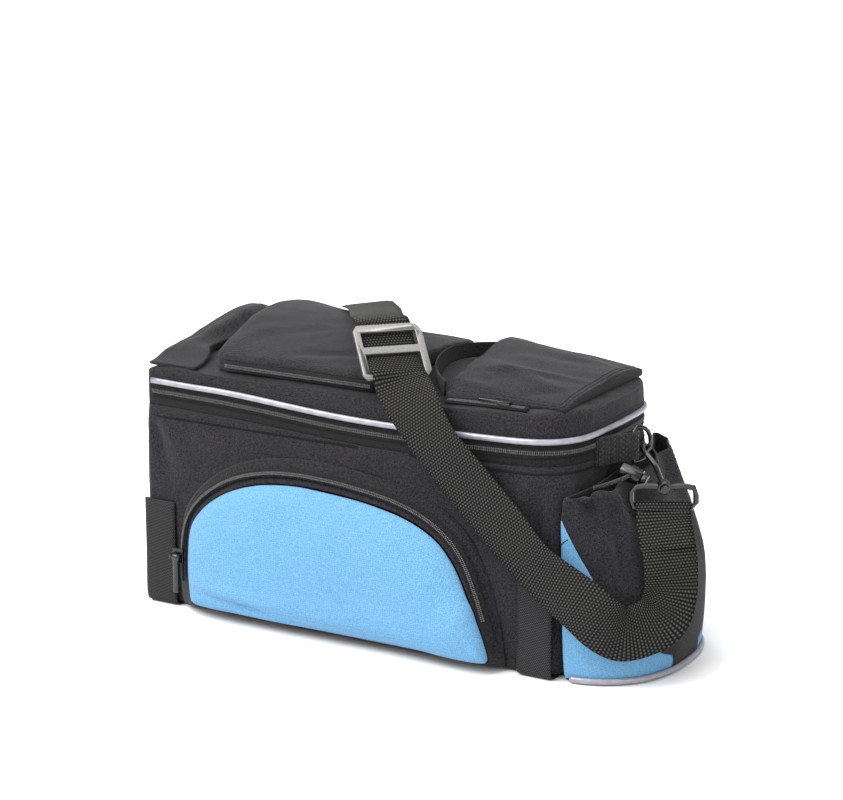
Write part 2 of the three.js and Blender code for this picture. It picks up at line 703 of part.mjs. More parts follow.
function endOutline(row, grow, wall) {
  const outline = [];
  const roundness = 2 / row.square;
  for (let i = 0; i <= endArcSteps; i += 1) {
    const turn = mix(-Math.PI / 2, Math.PI / 2, i / endArcSteps);
    const ripple = gatherDepth * row.gather * Math.cos(turn * 2 * gatherCount) * Math.cos(turn) ** 0.5;
    const reach = (endPocketReach - endBow) * row.reach + grow + ripple;
    const half = (endPocketWidth / 2) * row.half + grow;
    outline.push([
      endStart + reach * Math.abs(Math.cos(turn)) ** roundness,
      half * Math.sign(Math.sin(turn)) * Math.abs(Math.sin(turn)) ** roundness,
    ]);
  }
  for (let i = 1; i < endBackSteps; i += 1) {
    const half = (endPocketWidth / 2) * row.half + grow;
    outline.push([endStart, mix(half, -half, i / endBackSteps)]);
  }
  return outline.map(([x, y]) => {
    const aside = y / (endPocketWidth / 2);
    const back = row.lead * THREE.MathUtils.clamp((Math.abs(aside) - leadFrom) / (1 - leadFrom), 0, 1) ** 1.5;
    const outward = THREE.MathUtils.clamp((x - endStart) / 20, 0, 1);
    const dent = strapDent * row.dent * outward * Math.exp(-(((aside - dentPlace) / dentReach) ** 2));
    return [Math.max(x, endStart + wall) - back - dent, y];
  });
}

function endRing(row, wall, lift = 0) {
  return endOutline(row, -wall, wall).map(([x, y]) => {
    const tilt = endRimTilt * row.up ** 2 * (y / (endPocketWidth / 2));
    return point(x, y, endPocketBase + (endPocketHeight - endRimTilt) * row.up + tilt + lift);
  });
}

const endShell = toSolid(skin([
  ...endRows.map((row) => endRing(row, 0)),
  ...endRows.map((row, i) => endRing(row, pocketWall, i === 0 ? pocketWall : 0)).reverse(),
]));

// Blue side panels: cut from the pocket's wall along a seam that falls from the bag's corner to the
// pocket's base.
const seamTop = endPocketHeight * 0.69;
const seamReach = endPocketReach * 0.98;

function seamWedge(side, slack) {
  const outline = new THREE.Shape();
  outline.moveTo(endStart + 0.2 - 20, endPocketBase + pocketWall + slack);
  outline.lineTo(endStart + seamReach - slack, endPocketBase + pocketWall + slack);
  outline.lineTo(endStart + 0.2 - 20, seamTop * (1 + 20 / seamReach) - slack);
  outline.closePath();
  const wedge = new THREE.ExtrudeGeometry(outline, { depth: endPocketWidth, bevelEnabled: false });
  wedge.rotateX(Math.PI / 2);
  const nearEdge = side < 0 ? -endPocketWidth * 0.14 : endPocketWidth * 1.14;
  wedge.translate(0, nearEdge + slack * side, 0);
  return toSolid(wedge);
}

// The pocket's back wall and its two led-back sides stay black.
const linerReach = 16;
const linerLength = linerReach + pocketWall;
const endLiner = toSolid(new THREE.BoxGeometry(linerLength, endPocketWidth * 0.93, endPocketHeight * 2)
  .translate(endStart + (pocketWall - linerReach) / 2, 0, endPocketHeight / 2));
const panelSides = [{ side: -1, label: 'front' }, { side: 1, label: 'back' }];
let endCloth = endShell;
panelSides.forEach(({ side, label }) => {
  const panel = endShell.intersect(seamWedge(side, gap)).subtract(endLiner);
  addPiece(`end_pocket_${label}_panel`, toGeometry(panel), blueCloth);
  endCloth = endCloth.subtract(seamWedge(side, 0).subtract(endLiner));
});
addPiece('end_pocket', toGeometry(endCloth), cloth);

// Piping round the foot of the end pocket.
const endPipingRow = endRows[0];
const endPipingRoute = endOutline(endPipingRow, endPipingRadius + 2 * gap + 1.2, 0).slice(2, endArcSteps - 1)
  .map(([x, y]) => point(x, y, endPocketBase + endPipingRadius));
addPiece('end_pocket_piping', roundBar(endPipingRoute, endPipingRadius, { steps: 18 }), reflective);

// Two webbing straps that go down the near side, under the bag and up the far side.
const rackStrapInset = -1;
const rackStrapPlaces = [
  { label: 'left', x: -halfLength + rackStrapInset + rackStrapWidth / 2 },
  { label: 'right', x: halfLength * 0.965 - rackStrapWidth / 2 },
];
rackStrapPlaces.forEach(({ label, x }) => {
  const outside = halfWidth + sideBow * 0.3 + gap + rackStrapThickness / 2;
  const low = rackStrapThickness / 2;
  const bendSize = 4;
  const nearSide = [
    [-outside, rackStrapHeight],
    [-outside, rackStrapHeight * 0.5],
    [-outside, low + bendSize],
    [-outside + bendSize * 0.3, low + bendSize * 0.3],
    [-outside + bendSize, low],
  ];
  const farSide = nearSide.map(([y, z]) => [-y, z]).reverse();
  const stations = [...nearSide, [0, low], ...farSide]
    .map(([y, z]) => ({ at: point(x, y, z), across: point(1, 0, 0), width: rackStrapWidth }));
  addPiece(`rack_strap_${label}`, ribbon(stations, rackStrapThickness), webbing);
});

// What carries the shoulder strap at each end: a webbing tab, a D-ring, a snap hook and a loop for the strap.
// The tab is sewn to the bag's end and leans away from it by a few degrees. bowTurn is where on the ring the
// hook sits, hookAlong is the way the hook hangs, and barAlong that of the loop's bar.
const tabHeight = bodyTop + 5;
const tabLength = 34;
const tabSewnY = -34;

function ringPieces({ label, mirror, start, lean, bowTurn, hookAlong, barAlong }) {
  const place = (geometry) => (mirror ? mirrored(geometry, -1, 1, 1) : geometry);
  const tabLoop = ringWire + gap + stripWall / 2;
  const outward = start + stripWall + gap;
  const spot = (u, v, z) => point(
    outward + u * Math.sin(lean) + v * Math.cos(lean),
    tabSewnY + u * Math.cos(lean) - v * Math.sin(lean),
    tabHeight + z,
  );
  const tabRoute = [[0, 0], [tabLength * 0.5, 0], [tabLength, 0]];
  for (let i = 1; i < 5; i += 1) {
    const turn = (i / 5) * Math.PI;
    tabRoute.push([tabLength + tabLoop * Math.sin(turn), tabLoop * (1 - Math.cos(turn))]);
  }
  const seamGap = stripWall + gap * 1.5;
  tabRoute.push([tabLength, 2 * tabLoop], [tabLength - 5, 1.8 * tabLoop]);
  tabRoute.push([tabLength - 14, seamGap], [2, seamGap]);
  const tab = tabRoute.map(([u, v]) => ({ at: spot(u, v, 0), across: point(0, 0, 1), width: tabWidth }));
  addPiece(`ring_tab_${label}`, place(ribbon(tab, stripWall)), webbing);

  // D-ring: a straight bar through the tab, and a round bow beyond it.
  const barHalf = tabWidth / 2 + ringWire + 0.6;
  const bowReach = ringRadius * 1.2;
  const bowPlace = (turn) => spot(
    tabLength + ringWire * 1.6 + bowReach * Math.cos(turn),
    tabLoop,
    barHalf * Math.sin(turn),
  );
  const ringRoute = [spot(tabLength, tabLoop, -barHalf), spot(tabLength, tabLoop, barHalf)];
  for (let i = 0; i <= 8; i += 1) {
    ringRoute.push(bowPlace(mix(Math.PI / 2, -Math.PI / 2, i / 8)));
  }
  const ring = roundBar(ringRoute, ringWire, { closed: true, steps: 16 });
  addPiece(`d_ring_${label}`, place(ring), blackPlastic);

  // Hook: an eye round the ring's bow, a stem and a head under the strap loop's collar.
  const along = hookAlong.clone().normalize();
  const held = bowPlace(bowTurn);
  const bowTangent = bowPlace(bowTurn + 0.05).sub(bowPlace(bowTurn - 0.05)).normalize();
  const sideways = along.clone().cross(bowTangent).normalize();
  const at = (s, q) => held.clone().addScaledVector(along, s).addScaledVector(sideways, q);
  const eye = ringWire + gap + hookWire + 1.6;
  const hookRoute = [
    at(eye * 2.1, -eye * 0.62), at(eye, -eye), at(-eye * 0.2, -eye * 0.95), at(-eye, -eye * 0.2),
    at(-eye * 0.75, eye * 0.6), at(0, eye), at(eye, eye), at(eye * 2.4, eye * 0.35), at(eye * 3.2, 0),
    at(hookLength, 0),
  ];
  const stem = toSolid(roundBar(hookRoute, hookWire, { steps: 18 }));
  const head = new THREE.CylinderGeometry(hookWire * 1.9, hookWire * 1.9, 2, 10);
  head.applyQuaternion(new THREE.Quaternion().setFromUnitVectors(point(0, 1, 0), along));
  const headAt = at(hookLength - 1, 0);
  head.translate(headAt.x, headAt.y, headAt.z);
  addPiece(`snap_hook_${label}`, place(toGeometry(stem.add(toSolid(head)))), blackPlastic);

  // Loop: a collar round the stem, and a frame whose far bar holds the strap.
  const collarLength = 5;
  const collarAt = at(hookLength - 2 - gap - collarLength / 2, 0);
  const turned = new THREE.Quaternion().setFromUnitVectors(point(0, 1, 0), along);
  const collar = new THREE.CylinderGeometry(hookWire + 3, hookWire + 3, collarLength, 10)
    .applyQuaternion(turned).translate(collarAt.x, collarAt.y, collarAt.z);
  const bore = new THREE.CylinderGeometry(hookWire + gap, hookWire + gap, collarLength * 3, 10)
    .applyQuaternion(turned).translate(collarAt.x, collarAt.y, collarAt.z);
  const bar = barAlong.clone().normalize();
  const barReach = strapWidth / 2 + loopWire + 1;
  const loopDepth = 15;
  const drop = point(0, 0, -1);
  const frameAt = (w, d) => collarAt.clone()
    .addScaledVector(bar, w * barReach).addScaledVector(drop, d * loopDepth);
  const frameRoute = [
    frameAt(-0.85, 0), frameAt(0, 0), frameAt(0.85, 0),
    frameAt(1, 0.14), frameAt(1, 0.5), frameAt(1, 0.86),
    frameAt(0.85, 1), frameAt(0, 1), frameAt(-0.85, 1),
    frameAt(-1, 0.86), frameAt(-1, 0.5), frameAt(-1, 0.14),
  ];
  const frame = toSolid(roundBar(frameRoute, loopWire, { closed: true, steps: 20 }));
  const passage = toSolid(bore);
  const loop = frame.add(toSolid(collar)).subtract(passage);
  addPiece(`strap_loop_${label}`, place(toGeometry(loop)), blackPlastic);
  const strapBar = frameAt(0, 1);
  return { strapBar: mirror ? strapBar.multiply(point(-1, 1, 1)) : strapBar };
}

const tabBow = endBow * Math.cos((Math.PI / 2) * (tabSewnY / halfWidth));
const rightEnd = ringPieces({
  label: 'right',
  mirror: false,
  start: halfLength * rimShare.right + tabBow - stripWall / 2,
  lean: THREE.MathUtils.degToRad(20),
  bowTurn: -0.55,
  hookAlong: point(28, -34, -14),
  barAlong: point(0.863, 0.505, 0),
});
const leftEnd = ringPieces({
  label: 'left',
  mirror: true,
  start: halfLength * 1.009 - stripWall / 2,
  lean: THREE.MathUtils.degToRad(8),
  bowTurn: -1.25,
  hookAlong: point(0.12, -0.1, -1),
  barAlong: point(0, 1, 0),
});

// Slider buckle on the arch of the strap above the lid's near edge.
const buckleTilt = THREE.MathUtils.degToRad(43);
const buckleTurn = THREE.MathUtils.degToRad(47);
const buckleAcross = point(Math.cos(buckleTurn), Math.sin(buckleTurn), 0);
const buckleDown = point(
  Math.sin(buckleTurn) * Math.cos(buckleTilt),
  -Math.cos(buckleTurn) * Math.cos(buckleTilt),
  -Math.sin(buckleTilt),
);
const buckleFace = buckleDown.clone().cross(buckleAcross);
const buckleRaise = 29;
const buckleAt = point(halfLength * 0.172, -halfWidth * 0.79, 0);
buckleAt.z = lidTop(buckleAt.x, buckleAt.y) + buckleRaise;
const onBuckle = (w, d, f = 0) => buckleAt.clone()
  .addScaledVector(buckleAcross, w).addScaledVector(buckleDown, d).addScaledVector(buckleFace, f);

const buckleOutline = new THREE.Shape();
const buckleHalf = buckleWidth / 2;
const buckleEnd = buckleLength / 2;
buckleOutline.moveTo(-buckleHalf + 3, -buckleEnd);
buckleOutline.lineTo(buckleHalf - 8, -buckleEnd);
buckleOutline.quadraticCurveTo(buckleHalf, -buckleEnd, buckleHalf, -buckleEnd + 12);
buckleOutline.lineTo(buckleHalf, buckleEnd - 4);
buckleOutline.lineTo(buckleHalf - 3, buckleEnd);
buckleOutline.lineTo(-buckleHalf + 3, buckleEnd);
buckleOutline.lineTo(-buckleHalf, buckleEnd - 4);
buckleOutline.lineTo(-buckleHalf, -buckleEnd + 4);
buckleOutline.closePath();
const slotHalf = strapWidth / 2 + 1;
const barWidth = 6;
const slotRows = [
  [-buckleEnd + barWidth, -barWidth / 2 - 1],
  [barWidth / 2 - 1, buckleEnd - barWidth + 2],
];
slotRows.forEach(([low, high]) => {
  const slot = new THREE.Path();
  slot.moveTo(-slotHalf, low);
  slot.lineTo(-slotHalf, high);
  slot.lineTo(slotHalf, high);
  slot.lineTo(slotHalf, low);
  slot.closePath();
  buckleOutline.holes.push(slot);
});
const buckle = new THREE.ExtrudeGeometry(buckleOutline, {
  depth: buckleThickness,
  bevelEnabled: false,
  curveSegments: 4,
});
buckle.translate(0, 0, -buckleThickness / 2);
const buckleBack = buckleAcross.clone().cross(buckleDown);
const buckleFrame = new THREE.Matrix4().makeBasis(buckleAcross, buckleDown, buckleBack);
buckle.applyMatrix4(buckleFrame);
buckle.translate(buckleAt.x, buckleAt.y, buckleAt.z);
addPiece('slider_buckle', buckle, satinMetal);

// Shoulder strap, from the loop on the right end, up the near side, through the buckle, over the lid and
// down the far side to the loop on the left end. The stations are chosen by hand from the places of what
// carries it.
const wrap = loopWire + gap + strapThickness / 2 + 0.6;
const barR = rightEnd.strapBar;
const barL = leftEnd.strapBar;
const right = point(0.863, 0.505, 0);
const viewer = point(0.505, -0.863, 0);
const up = point(0, 0, 1);
const direction = (r, u, t) => point()
  .addScaledVector(right, r).addScaledVector(up, u).addScaledVector(viewer, t);
const fromRight = (r, u, t) => barR.clone().add(direction(r, u, t));
const under = -(buckleThickness / 2 + strapThickness / 2 + gap);
const nearFace = -(halfWidth + sideBow + 9);
const farFace = halfWidth + sideBow + 17;
const farEdge = point(-halfLength * 0.42, halfWidth * 0.94, 0);
const strapSeat = topPocketHeight(farEdge.x - strapWidth / 2, farEdge.y);
farEdge.z = lidTop(farEdge.x, farEdge.y) + strapSeat + strapThickness + 3.6;

const againstBuckle = buckleAcross.clone().negate();
const lidNear = lidTop(halfLength * 0.3, -halfWidth);
const overPocket = farEdge.clone().lerp(onBuckle(0, -buckleEnd, 0), 0.45).add(point(0, 0, 3));
const onPocket = (out, along, high) => point(
  endStart + endPocketReach * out,
  (endPocketWidth / 2) * along,
  endPocketBase + endPocketHeight * high,
);
const strapRows = [
  { at: fromRight(0, -8, -wrap + 0.4), across: right },
  { at: fromRight(0, 0, -wrap), across: right },
  { at: fromRight(0, wrap, 0), across: right },
  { at: fromRight(0, 0, wrap), across: right },
  { at: fromRight(0, -7, wrap + 1.5), across: right },
  { at: onPocket(0.93, -0.5, 0.62), across: point(0.77, 0.64, 0) },
  { at: onPocket(0.95, -0.52, 0.43), across: point(0.76, 0.64, -0.12) },
  { at: onPocket(0.93, -0.69, 0.34), across: direction(0.85, -0.6, 0) },
  { at: onPocket(0.66, -0.95, 0.29), across: direction(0.35, -0.95, 0) },
  { at: onPocket(0.5, -1.14, 0.35), across: direction(-0.1, -1, 0) },
  { at: onPocket(0.27, -1.22, 0.44), across: direction(-0.4, -0.85, 0) },
  { at: point(halfLength * 0.92, nearFace - 1, baseZ + bodyHeight * 0.565), across: point(-0.6, 0.1, -0.75) },
  { at: point(halfLength * 0.76, nearFace, baseZ + bodyHeight * 0.74), across: point(-0.68, 0, -0.68) },
  { at: point(halfLength * 0.6, nearFace, baseZ + bodyHeight * 0.92), across: point(-0.74, 0, -0.62) },
  { at: point(halfLength * 0.46, nearFace - 1, baseZ + bodyHeight * 1.09), across: point(-0.82, 0, -0.5) },
  { at: point(halfLength * 0.37, nearFace + 2, lidNear + 1), across: point(-0.86, -0.2, -0.36) },
  { at: onBuckle(0.5, buckleEnd + 4, 2.4), across: point(-0.82, -0.5, -0.1) },
  { at: onBuckle(0, buckleEnd - barWidth / 2 + 1, -under + 0.9), across: againstBuckle },
  { at: onBuckle(0, barWidth / 2 + 6, 0), across: againstBuckle },
  { at: onBuckle(0, 1, under), across: againstBuckle },
  { at: onBuckle(0, -barWidth / 2 - 3, under), across: againstBuckle },
  { at: onBuckle(0, -buckleEnd + barWidth / 2, under - 0.2), across: againstBuckle },
  { at: onBuckle(0, -buckleEnd - 5, under + 0.2), across: againstBuckle },
  { at: onBuckle(-1, -buckleEnd - 14, -9), across: againstBuckle },
  { at: overPocket, across: againstBuckle },
  { at: farEdge, across: againstBuckle },
  { at: point(farEdge.x - 8, farFace, farEdge.z - 14), across: point(-0.82, -0.4, 0.3) },
  { at: point(farEdge.x - 24, farFace + 1, farEdge.z - 38), across: point(-0.8, 0, 0.6) },
  { at: point(-halfLength * 0.72, farFace, baseZ + bodyHeight * 0.66), across: point(-0.74, 0, 0.66) },
  { at: point(-halfLength * 0.96, farFace - 1, baseZ + bodyHeight * 0.44), across: point(-0.6, 0, 0.8) },
  { at: point(-halfLength - 16, halfWidth + 3, baseZ + bodyHeight * 0.31), across: point(-0.25, 0.3, 0.9) },
  { at: barL.clone().add(point(-8, 34, -48)), across: point(0, 0.25, 1) },
  { at: barL.clone().add(point(-6, 9, -48)), across: point(0, 0.9, 0.5) },
  { at: barL.clone().add(point(-4, 0, -36)), across: point(0, 1, 0.1) },
  { at: barL.clone().add(point(-3, 0, -24)), across: point(0, 1, 0) },
  { at: barL.clone().add(point(-wrap, 0, -8)), across: point(0, 1, 0) },
  { at: barL.clone().add(point(-wrap, 0, 0)), across: point(0, 1, 0) },
  { at: barL.clone().add(point(0, 0, wrap)), across: point(0, 1, 0) },
  { at: barL.clone().add(point(wrap, 0, 0)), across: point(0, 1, 0) },
  { at: barL.clone().add(point(wrap - 0.4, 0, -8)), across: point(0, 1, 0) },
];
const strapRoute = new THREE.CatmullRomCurve3(strapRows.map(({ at }) => at), false, 'centripetal');
const strapTurns = new THREE.CatmullRomCurve3(strapRows.map(({ across }) => across), false, 'centripetal');
const strapStations = [];
const strapStepsPerRow = 2;
const strapSteps = (strapRows.length - 1) * strapStepsPerRow;
for (let i = 0; i <= strapSteps; i += 1) {
  const share = i / strapSteps;
  const across = strapTurns.getPoint(share);
  strapStations.push({ at: strapRoute.getPoint(share), across, width: strapWidth });
}
addPiece('shoulder_strap', ribbon(strapStations, strapThickness), webbing);

// Drawstring between the two ends of the pocket's hem, through the cord lock.
const rimAt = (y) => endPocketBase + endPocketHeight - endRimTilt + endRimTilt * (y / (endPocketWidth / 2));
const lockY = -endPocketWidth * 0.16;
const lockAt = point(endStart + 19, lockY, rimAt(lockY) + lockRadius - 1);
const lockAlong = point(0.1, 1, 0.05).normalize();
const seatCord = (x, y) => point(endStart + x, y, rimAt(y) + cordRadius + 3 * gap);
const drawstringRoute = [
  seatCord(4, lockY - 28),
  seatCord(8, lockY - 21),
  lockAt.clone().addScaledVector(lockAlong, -lockRadius - 3),
  lockAt.clone(),
  lockAt.clone().addScaledVector(lockAlong, lockRadius + 3),
  seatCord(10, lockY + 20),
];
addPiece('drawstring', roundBar(drawstringRoute, cordRadius, { steps: 14 }), webbing);

const lockAxis = point(1, 0.1, -0.35).normalize();
const lockTurn = new THREE.Quaternion().setFromUnitVectors(point(0, 1, 0), lockAxis);
const barrel = new THREE.CylinderGeometry(lockRadius, lockRadius, lockLength, 12).applyQuaternion(lockTurn)
  .translate(lockAt.x, lockAt.y, lockAt.z);
const cordHole = new THREE.CylinderGeometry(cordRadius + gap + 0.3, cordRadius + gap + 0.3, lockRadius * 4, 8)
  .applyQuaternion(new THREE.Quaternion().setFromUnitVectors(point(0, 1, 0), lockAlong))
  .translate(lockAt.x, lockAt.y, lockAt.z);
addPiece('cord_lock_body', toGeometry(toSolid(barrel).subtract(toSolid(cordHole))), blackPlastic);
const buttonAt = lockAt.clone().addScaledVector(lockAxis, lockLength / 2 + gap + 2);
const button = new THREE.CylinderGeometry(lockRadius * 0.72, lockRadius * 0.72, 4, 12)
  .applyQuaternion(lockTurn).translate(buttonAt.x, buttonAt.y, buttonAt.z);
addPiece('cord_lock_button', button, blackPlastic);

// The origin is the middle of the footprint, on the surface that the bag stands on.
const extent = new THREE.Box3().setFromObject(bag);
const footprintMiddle = extent.getCenter(point());
bag.position.set(-footprintMiddle.x, -footprintMiddle.y, -extent.min.z);

export default bag;
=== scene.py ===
"""Bicycle rack bag: cloth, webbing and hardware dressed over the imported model. Metres, +Z up."""

import math

import bmesh
import bpy
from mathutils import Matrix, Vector, noise
from mathutils.bvhtree import BVHTree


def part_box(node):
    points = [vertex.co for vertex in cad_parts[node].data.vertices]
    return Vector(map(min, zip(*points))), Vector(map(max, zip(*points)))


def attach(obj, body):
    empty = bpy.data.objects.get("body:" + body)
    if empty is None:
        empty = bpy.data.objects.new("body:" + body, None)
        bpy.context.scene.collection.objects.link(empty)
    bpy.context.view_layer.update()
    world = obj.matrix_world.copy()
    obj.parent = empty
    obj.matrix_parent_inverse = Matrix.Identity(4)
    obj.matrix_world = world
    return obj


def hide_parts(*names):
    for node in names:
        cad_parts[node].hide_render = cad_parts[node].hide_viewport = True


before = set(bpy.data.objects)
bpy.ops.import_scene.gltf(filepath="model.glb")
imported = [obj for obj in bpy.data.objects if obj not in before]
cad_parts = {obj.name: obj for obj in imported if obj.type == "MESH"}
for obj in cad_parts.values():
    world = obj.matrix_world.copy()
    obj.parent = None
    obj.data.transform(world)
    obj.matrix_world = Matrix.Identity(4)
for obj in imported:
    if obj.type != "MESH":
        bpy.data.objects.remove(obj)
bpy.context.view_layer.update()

MM = 0.001
BAG = "bag"
WELD_DISTANCE = 2e-5
CLOTH_RELIEF = 0.0006
FINE_RELIEF = 0.0004


# Camera and studio

camera_data = bpy.data.cameras.new("view")
camera_data.lens = 106.76
camera_data.sensor_width = 36.0
camera_data.sensor_fit = "HORIZONTAL"
camera_data.clip_end = 20.0
camera = bpy.data.objects.new("view", camera_data)
camera.location = (0.88355, -1.52533, 0.61918)
camera.rotation_euler = Vector((-0.4886, 0.8361, -0.2495)).to_track_quat("-Z", "Y").to_euler()
bpy.context.collection.objects.link(camera)
bpy.context.scene.camera = camera


def soft_light(name, place, target, size, power, tint=(1, 1, 1)):
    data = bpy.data.lights.new(name, "AREA")
    data.shape = "RECTANGLE"
    data.size = size[0]
    data.size_y = size[1]
    data.energy = power
    data.color = tint
    lamp = bpy.data.objects.new(name, data)
    lamp.location = place
    lamp.rotation_euler = (Vector(target) - Vector(place)).to_track_quat("-Z", "Y").to_euler()
    bpy.context.collection.objects.link(lamp)


sun_data = bpy.data.lights.new("window_light", "SUN")
sun_data.energy = 3.6
sun_data.angle = 1.2
sun = bpy.data.objects.new("window_light", sun_data)
sun.rotation_euler = Vector((0.45, 0.75, -1.2)).to_track_quat("-Z", "Y").to_euler()
bpy.context.collection.objects.link(sun)
soft_light("key_light", (-0.9, -1.7, 1.9), (0, 0, 0.1), (1.0, 1.0), 26)
soft_light("fill_light", (1.9, -1.3, 1.1), (0.05, 0, 0.1), (1.2, 1.0), 16)
soft_light("top_light", (0.2, 0.4, 2.0), (0, 0, 0.15), (1.6, 1.2), 12)
soft_light("rim_light", (-1.4, 1.3, 1.2), (0, 0, 0.15), (1.0, 1.0), 14)

world = bpy.data.worlds.new("studio")
bpy.context.scene.world = world
bpy.context.scene.view_settings.view_transform = "Standard"
world.use_nodes = True
world.node_tree.nodes["Background"].inputs["Color"].default_value = (1.0, 1.0, 1.0, 1)
world.node_tree.nodes["Background"].inputs["Strength"].default_value = 0.42


# Materials

def shader(name):
    material = bpy.data.materials.new(name)
    material.use_nodes = True
    tree = material.node_tree
    surface = tree.nodes["Principled BSDF"]
    return material, tree, surface


def add_node(tree, kind, **values):
    node = tree.nodes.new(kind)
    for key, value in values.items():
        if key in node.inputs:
            node.inputs[key].default_value = value
        else:
            setattr(node, key, value)
    return node


def combine(tree, kind, first, second=None):
    """What a Math node makes of one or two values, each a number or a socket."""
    node = add_node(tree, "ShaderNodeMath", operation=kind)
    for slot_number, value in enumerate((first, second)):
        if isinstance(value, (int, float)):
            node.inputs[slot_number].default_value = value
        elif value is not None:
            tree.links.new(value, node.inputs[slot_number])
    return node.outputs[0]


def ramp_between(tree, factor, dark, light, low=0.0, high=1.0):
    ramp = add_node(tree, "ShaderNodeValToRGB")
    ramp.color_ramp.elements[0].position = low
    ramp.color_ramp.elements[1].position = high
    ramp.color_ramp.elements[0].color = (*dark, 1)
    ramp.color_ramp.elements[1].color = (*light, 1)
    tree.links.new(factor, ramp.inputs[0])
    return ramp.outputs[0]


def add_relief(tree, surface, height, strength, depth):
    """Bumps the surface by a height."""
    relief = add_node(tree, "ShaderNodeBump", Strength=strength, Distance=depth)
    tree.links.new(height, relief.inputs["Height"])
    tree.links.new(relief.outputs[0], surface.inputs["Normal"])


def plain_weave(tree, pitch):
    """Height of a plain weave on any face, from the object's own coordinates."""
    place = add_node(tree, "ShaderNodeTexCoord").outputs["Object"]
    axes = add_node(tree, "ShaderNodeSeparateXYZ")
    tree.links.new(place, axes.inputs[0])
    turns = [combine(tree, "MULTIPLY", axes.outputs[k], math.tau / pitch) for k in range(3)]
    waves = [combine(tree, "SINE", turn) for turn in turns]
    side = combine(tree, "MULTIPLY", waves[0], waves[2])
    other = combine(tree, "MULTIPLY", waves[1], combine(tree, "ADD", waves[0], waves[2]))
    return place, combine(tree, "ADD", side, other)


def woven_cloth(name, dark, light, pitch=1.1 * MM, grain=1000, bump=0.5, rough=0.85, sheen=0.25,
                mottle=0.15):
    """Woven cloth: a weave in relief, and a speckle between two colours."""
    material, tree, surface = shader(name)
    place, weave = plain_weave(tree, pitch)
    fine = add_node(tree, "ShaderNodeTexNoise", Scale=grain, Detail=2.0, Roughness=0.7)
    tree.links.new(place, fine.inputs["Vector"])
    broad = add_node(tree, "ShaderNodeTexNoise", Scale=28.0, Detail=3.0, Roughness=0.55)
    tree.links.new(place, broad.inputs["Vector"])
    broad_share = 0.4 * mottle
    speckle = combine(tree, "ADD", combine(tree, "MULTIPLY", fine.outputs[0], 1.0 - broad_share),
                      combine(tree, "MULTIPLY", broad.outputs[0], broad_share))
    speckle = combine(tree, "ADD", speckle, combine(tree, "MULTIPLY", weave, 0.045))
    tree.links.new(ramp_between(tree, speckle, dark, light, 0.38, 0.62), surface.inputs["Base Color"])
    height = combine(tree, "ADD", combine(tree, "MULTIPLY", weave, 0.25), fine.outputs[0])
    add_relief(tree, surface, height, bump, CLOTH_RELIEF)
    surface.inputs["Roughness"].default_value = rough
    surface.inputs["Sheen Weight"].default_value = sheen
    surface.inputs["Sheen Roughness"].default_value = 0.4
    surface.inputs["Specular IOR Level"].default_value = 0.25
    return material


def ribbed_webbing(name, rib, cross, dark, light, strength=0.9):
    """Ribs across a strap, with a bead where a thread crosses. The colour is painted highlight on the raised
    crests and painted shade in the grooves. The strap's UV map is in metres.
    """
    material, tree, surface = shader(name)
    place = add_node(tree, "ShaderNodeUVMap", uv_map="strap").outputs[0]
    axes = add_node(tree, "ShaderNodeSeparateXYZ")
    tree.links.new(place, axes.inputs[0])
    across = combine(tree, "MULTIPLY", axes.outputs[0], math.pi / cross)
    along = combine(tree, "MULTIPLY", axes.outputs[1], math.pi / rib)
    row = combine(tree, "FLOOR", combine(tree, "DIVIDE", along, math.pi))
    half_turn = combine(tree, "MULTIPLY", row, math.pi / 2)
    ribs = combine(tree, "ABSOLUTE", combine(tree, "SINE", along))
    beads = combine(tree, "ABSOLUTE", combine(tree, "SINE", combine(tree, "ADD", across, half_turn)))
    bead_height = combine(tree, "ADD", combine(tree, "MULTIPLY", beads, 0.75), 0.25)
    height = combine(tree, "MULTIPLY", ribs, bead_height)
    # Painted highlight and shade: the colour runs from dark in the grooves to light on the rib and bead
    # crests, following the relief height.
    tree.links.new(ramp_between(tree, height, dark, light, 0.42, 1.0), surface.inputs["Base Color"])
    add_relief(tree, surface, height, strength, CLOTH_RELIEF)
    surface.inputs["Roughness"].default_value = 0.62
    surface.inputs["Specular IOR Level"].default_value = 0.15
    return material


def satin(name, dark, light, rough, metallic=0.0, scale=400, bump=0.05, coat=0.0):
    """A smooth finish with a fine unevenness in its colour, gloss and relief."""
    material, tree, surface = shader(name)
    place = add_node(tree, "ShaderNodeTexCoord").outputs["Object"]
    grain = add_node(tree, "ShaderNodeTexNoise", Scale=scale, Detail=3.0, Roughness=0.6)
    tree.links.new(place, grain.inputs["Vector"])
    colour = ramp_between(tree, grain.outputs[0], dark, light, 0.35, 0.65)
    tree.links.new(colour, surface.inputs["Base Color"])
    uneven = combine(tree, "ADD", combine(tree, "MULTIPLY", grain.outputs[0], 0.12), rough - 0.06)
    tree.links.new(uneven, surface.inputs["Roughness"])
    add_relief(tree, surface, grain.outputs[0], bump, FINE_RELIEF)
    surface.inputs["Metallic"].default_value = metallic
    surface.inputs["Coat Weight"].default_value = coat
    surface.inputs["Coat Roughness"].default_value = 0.15
    return material


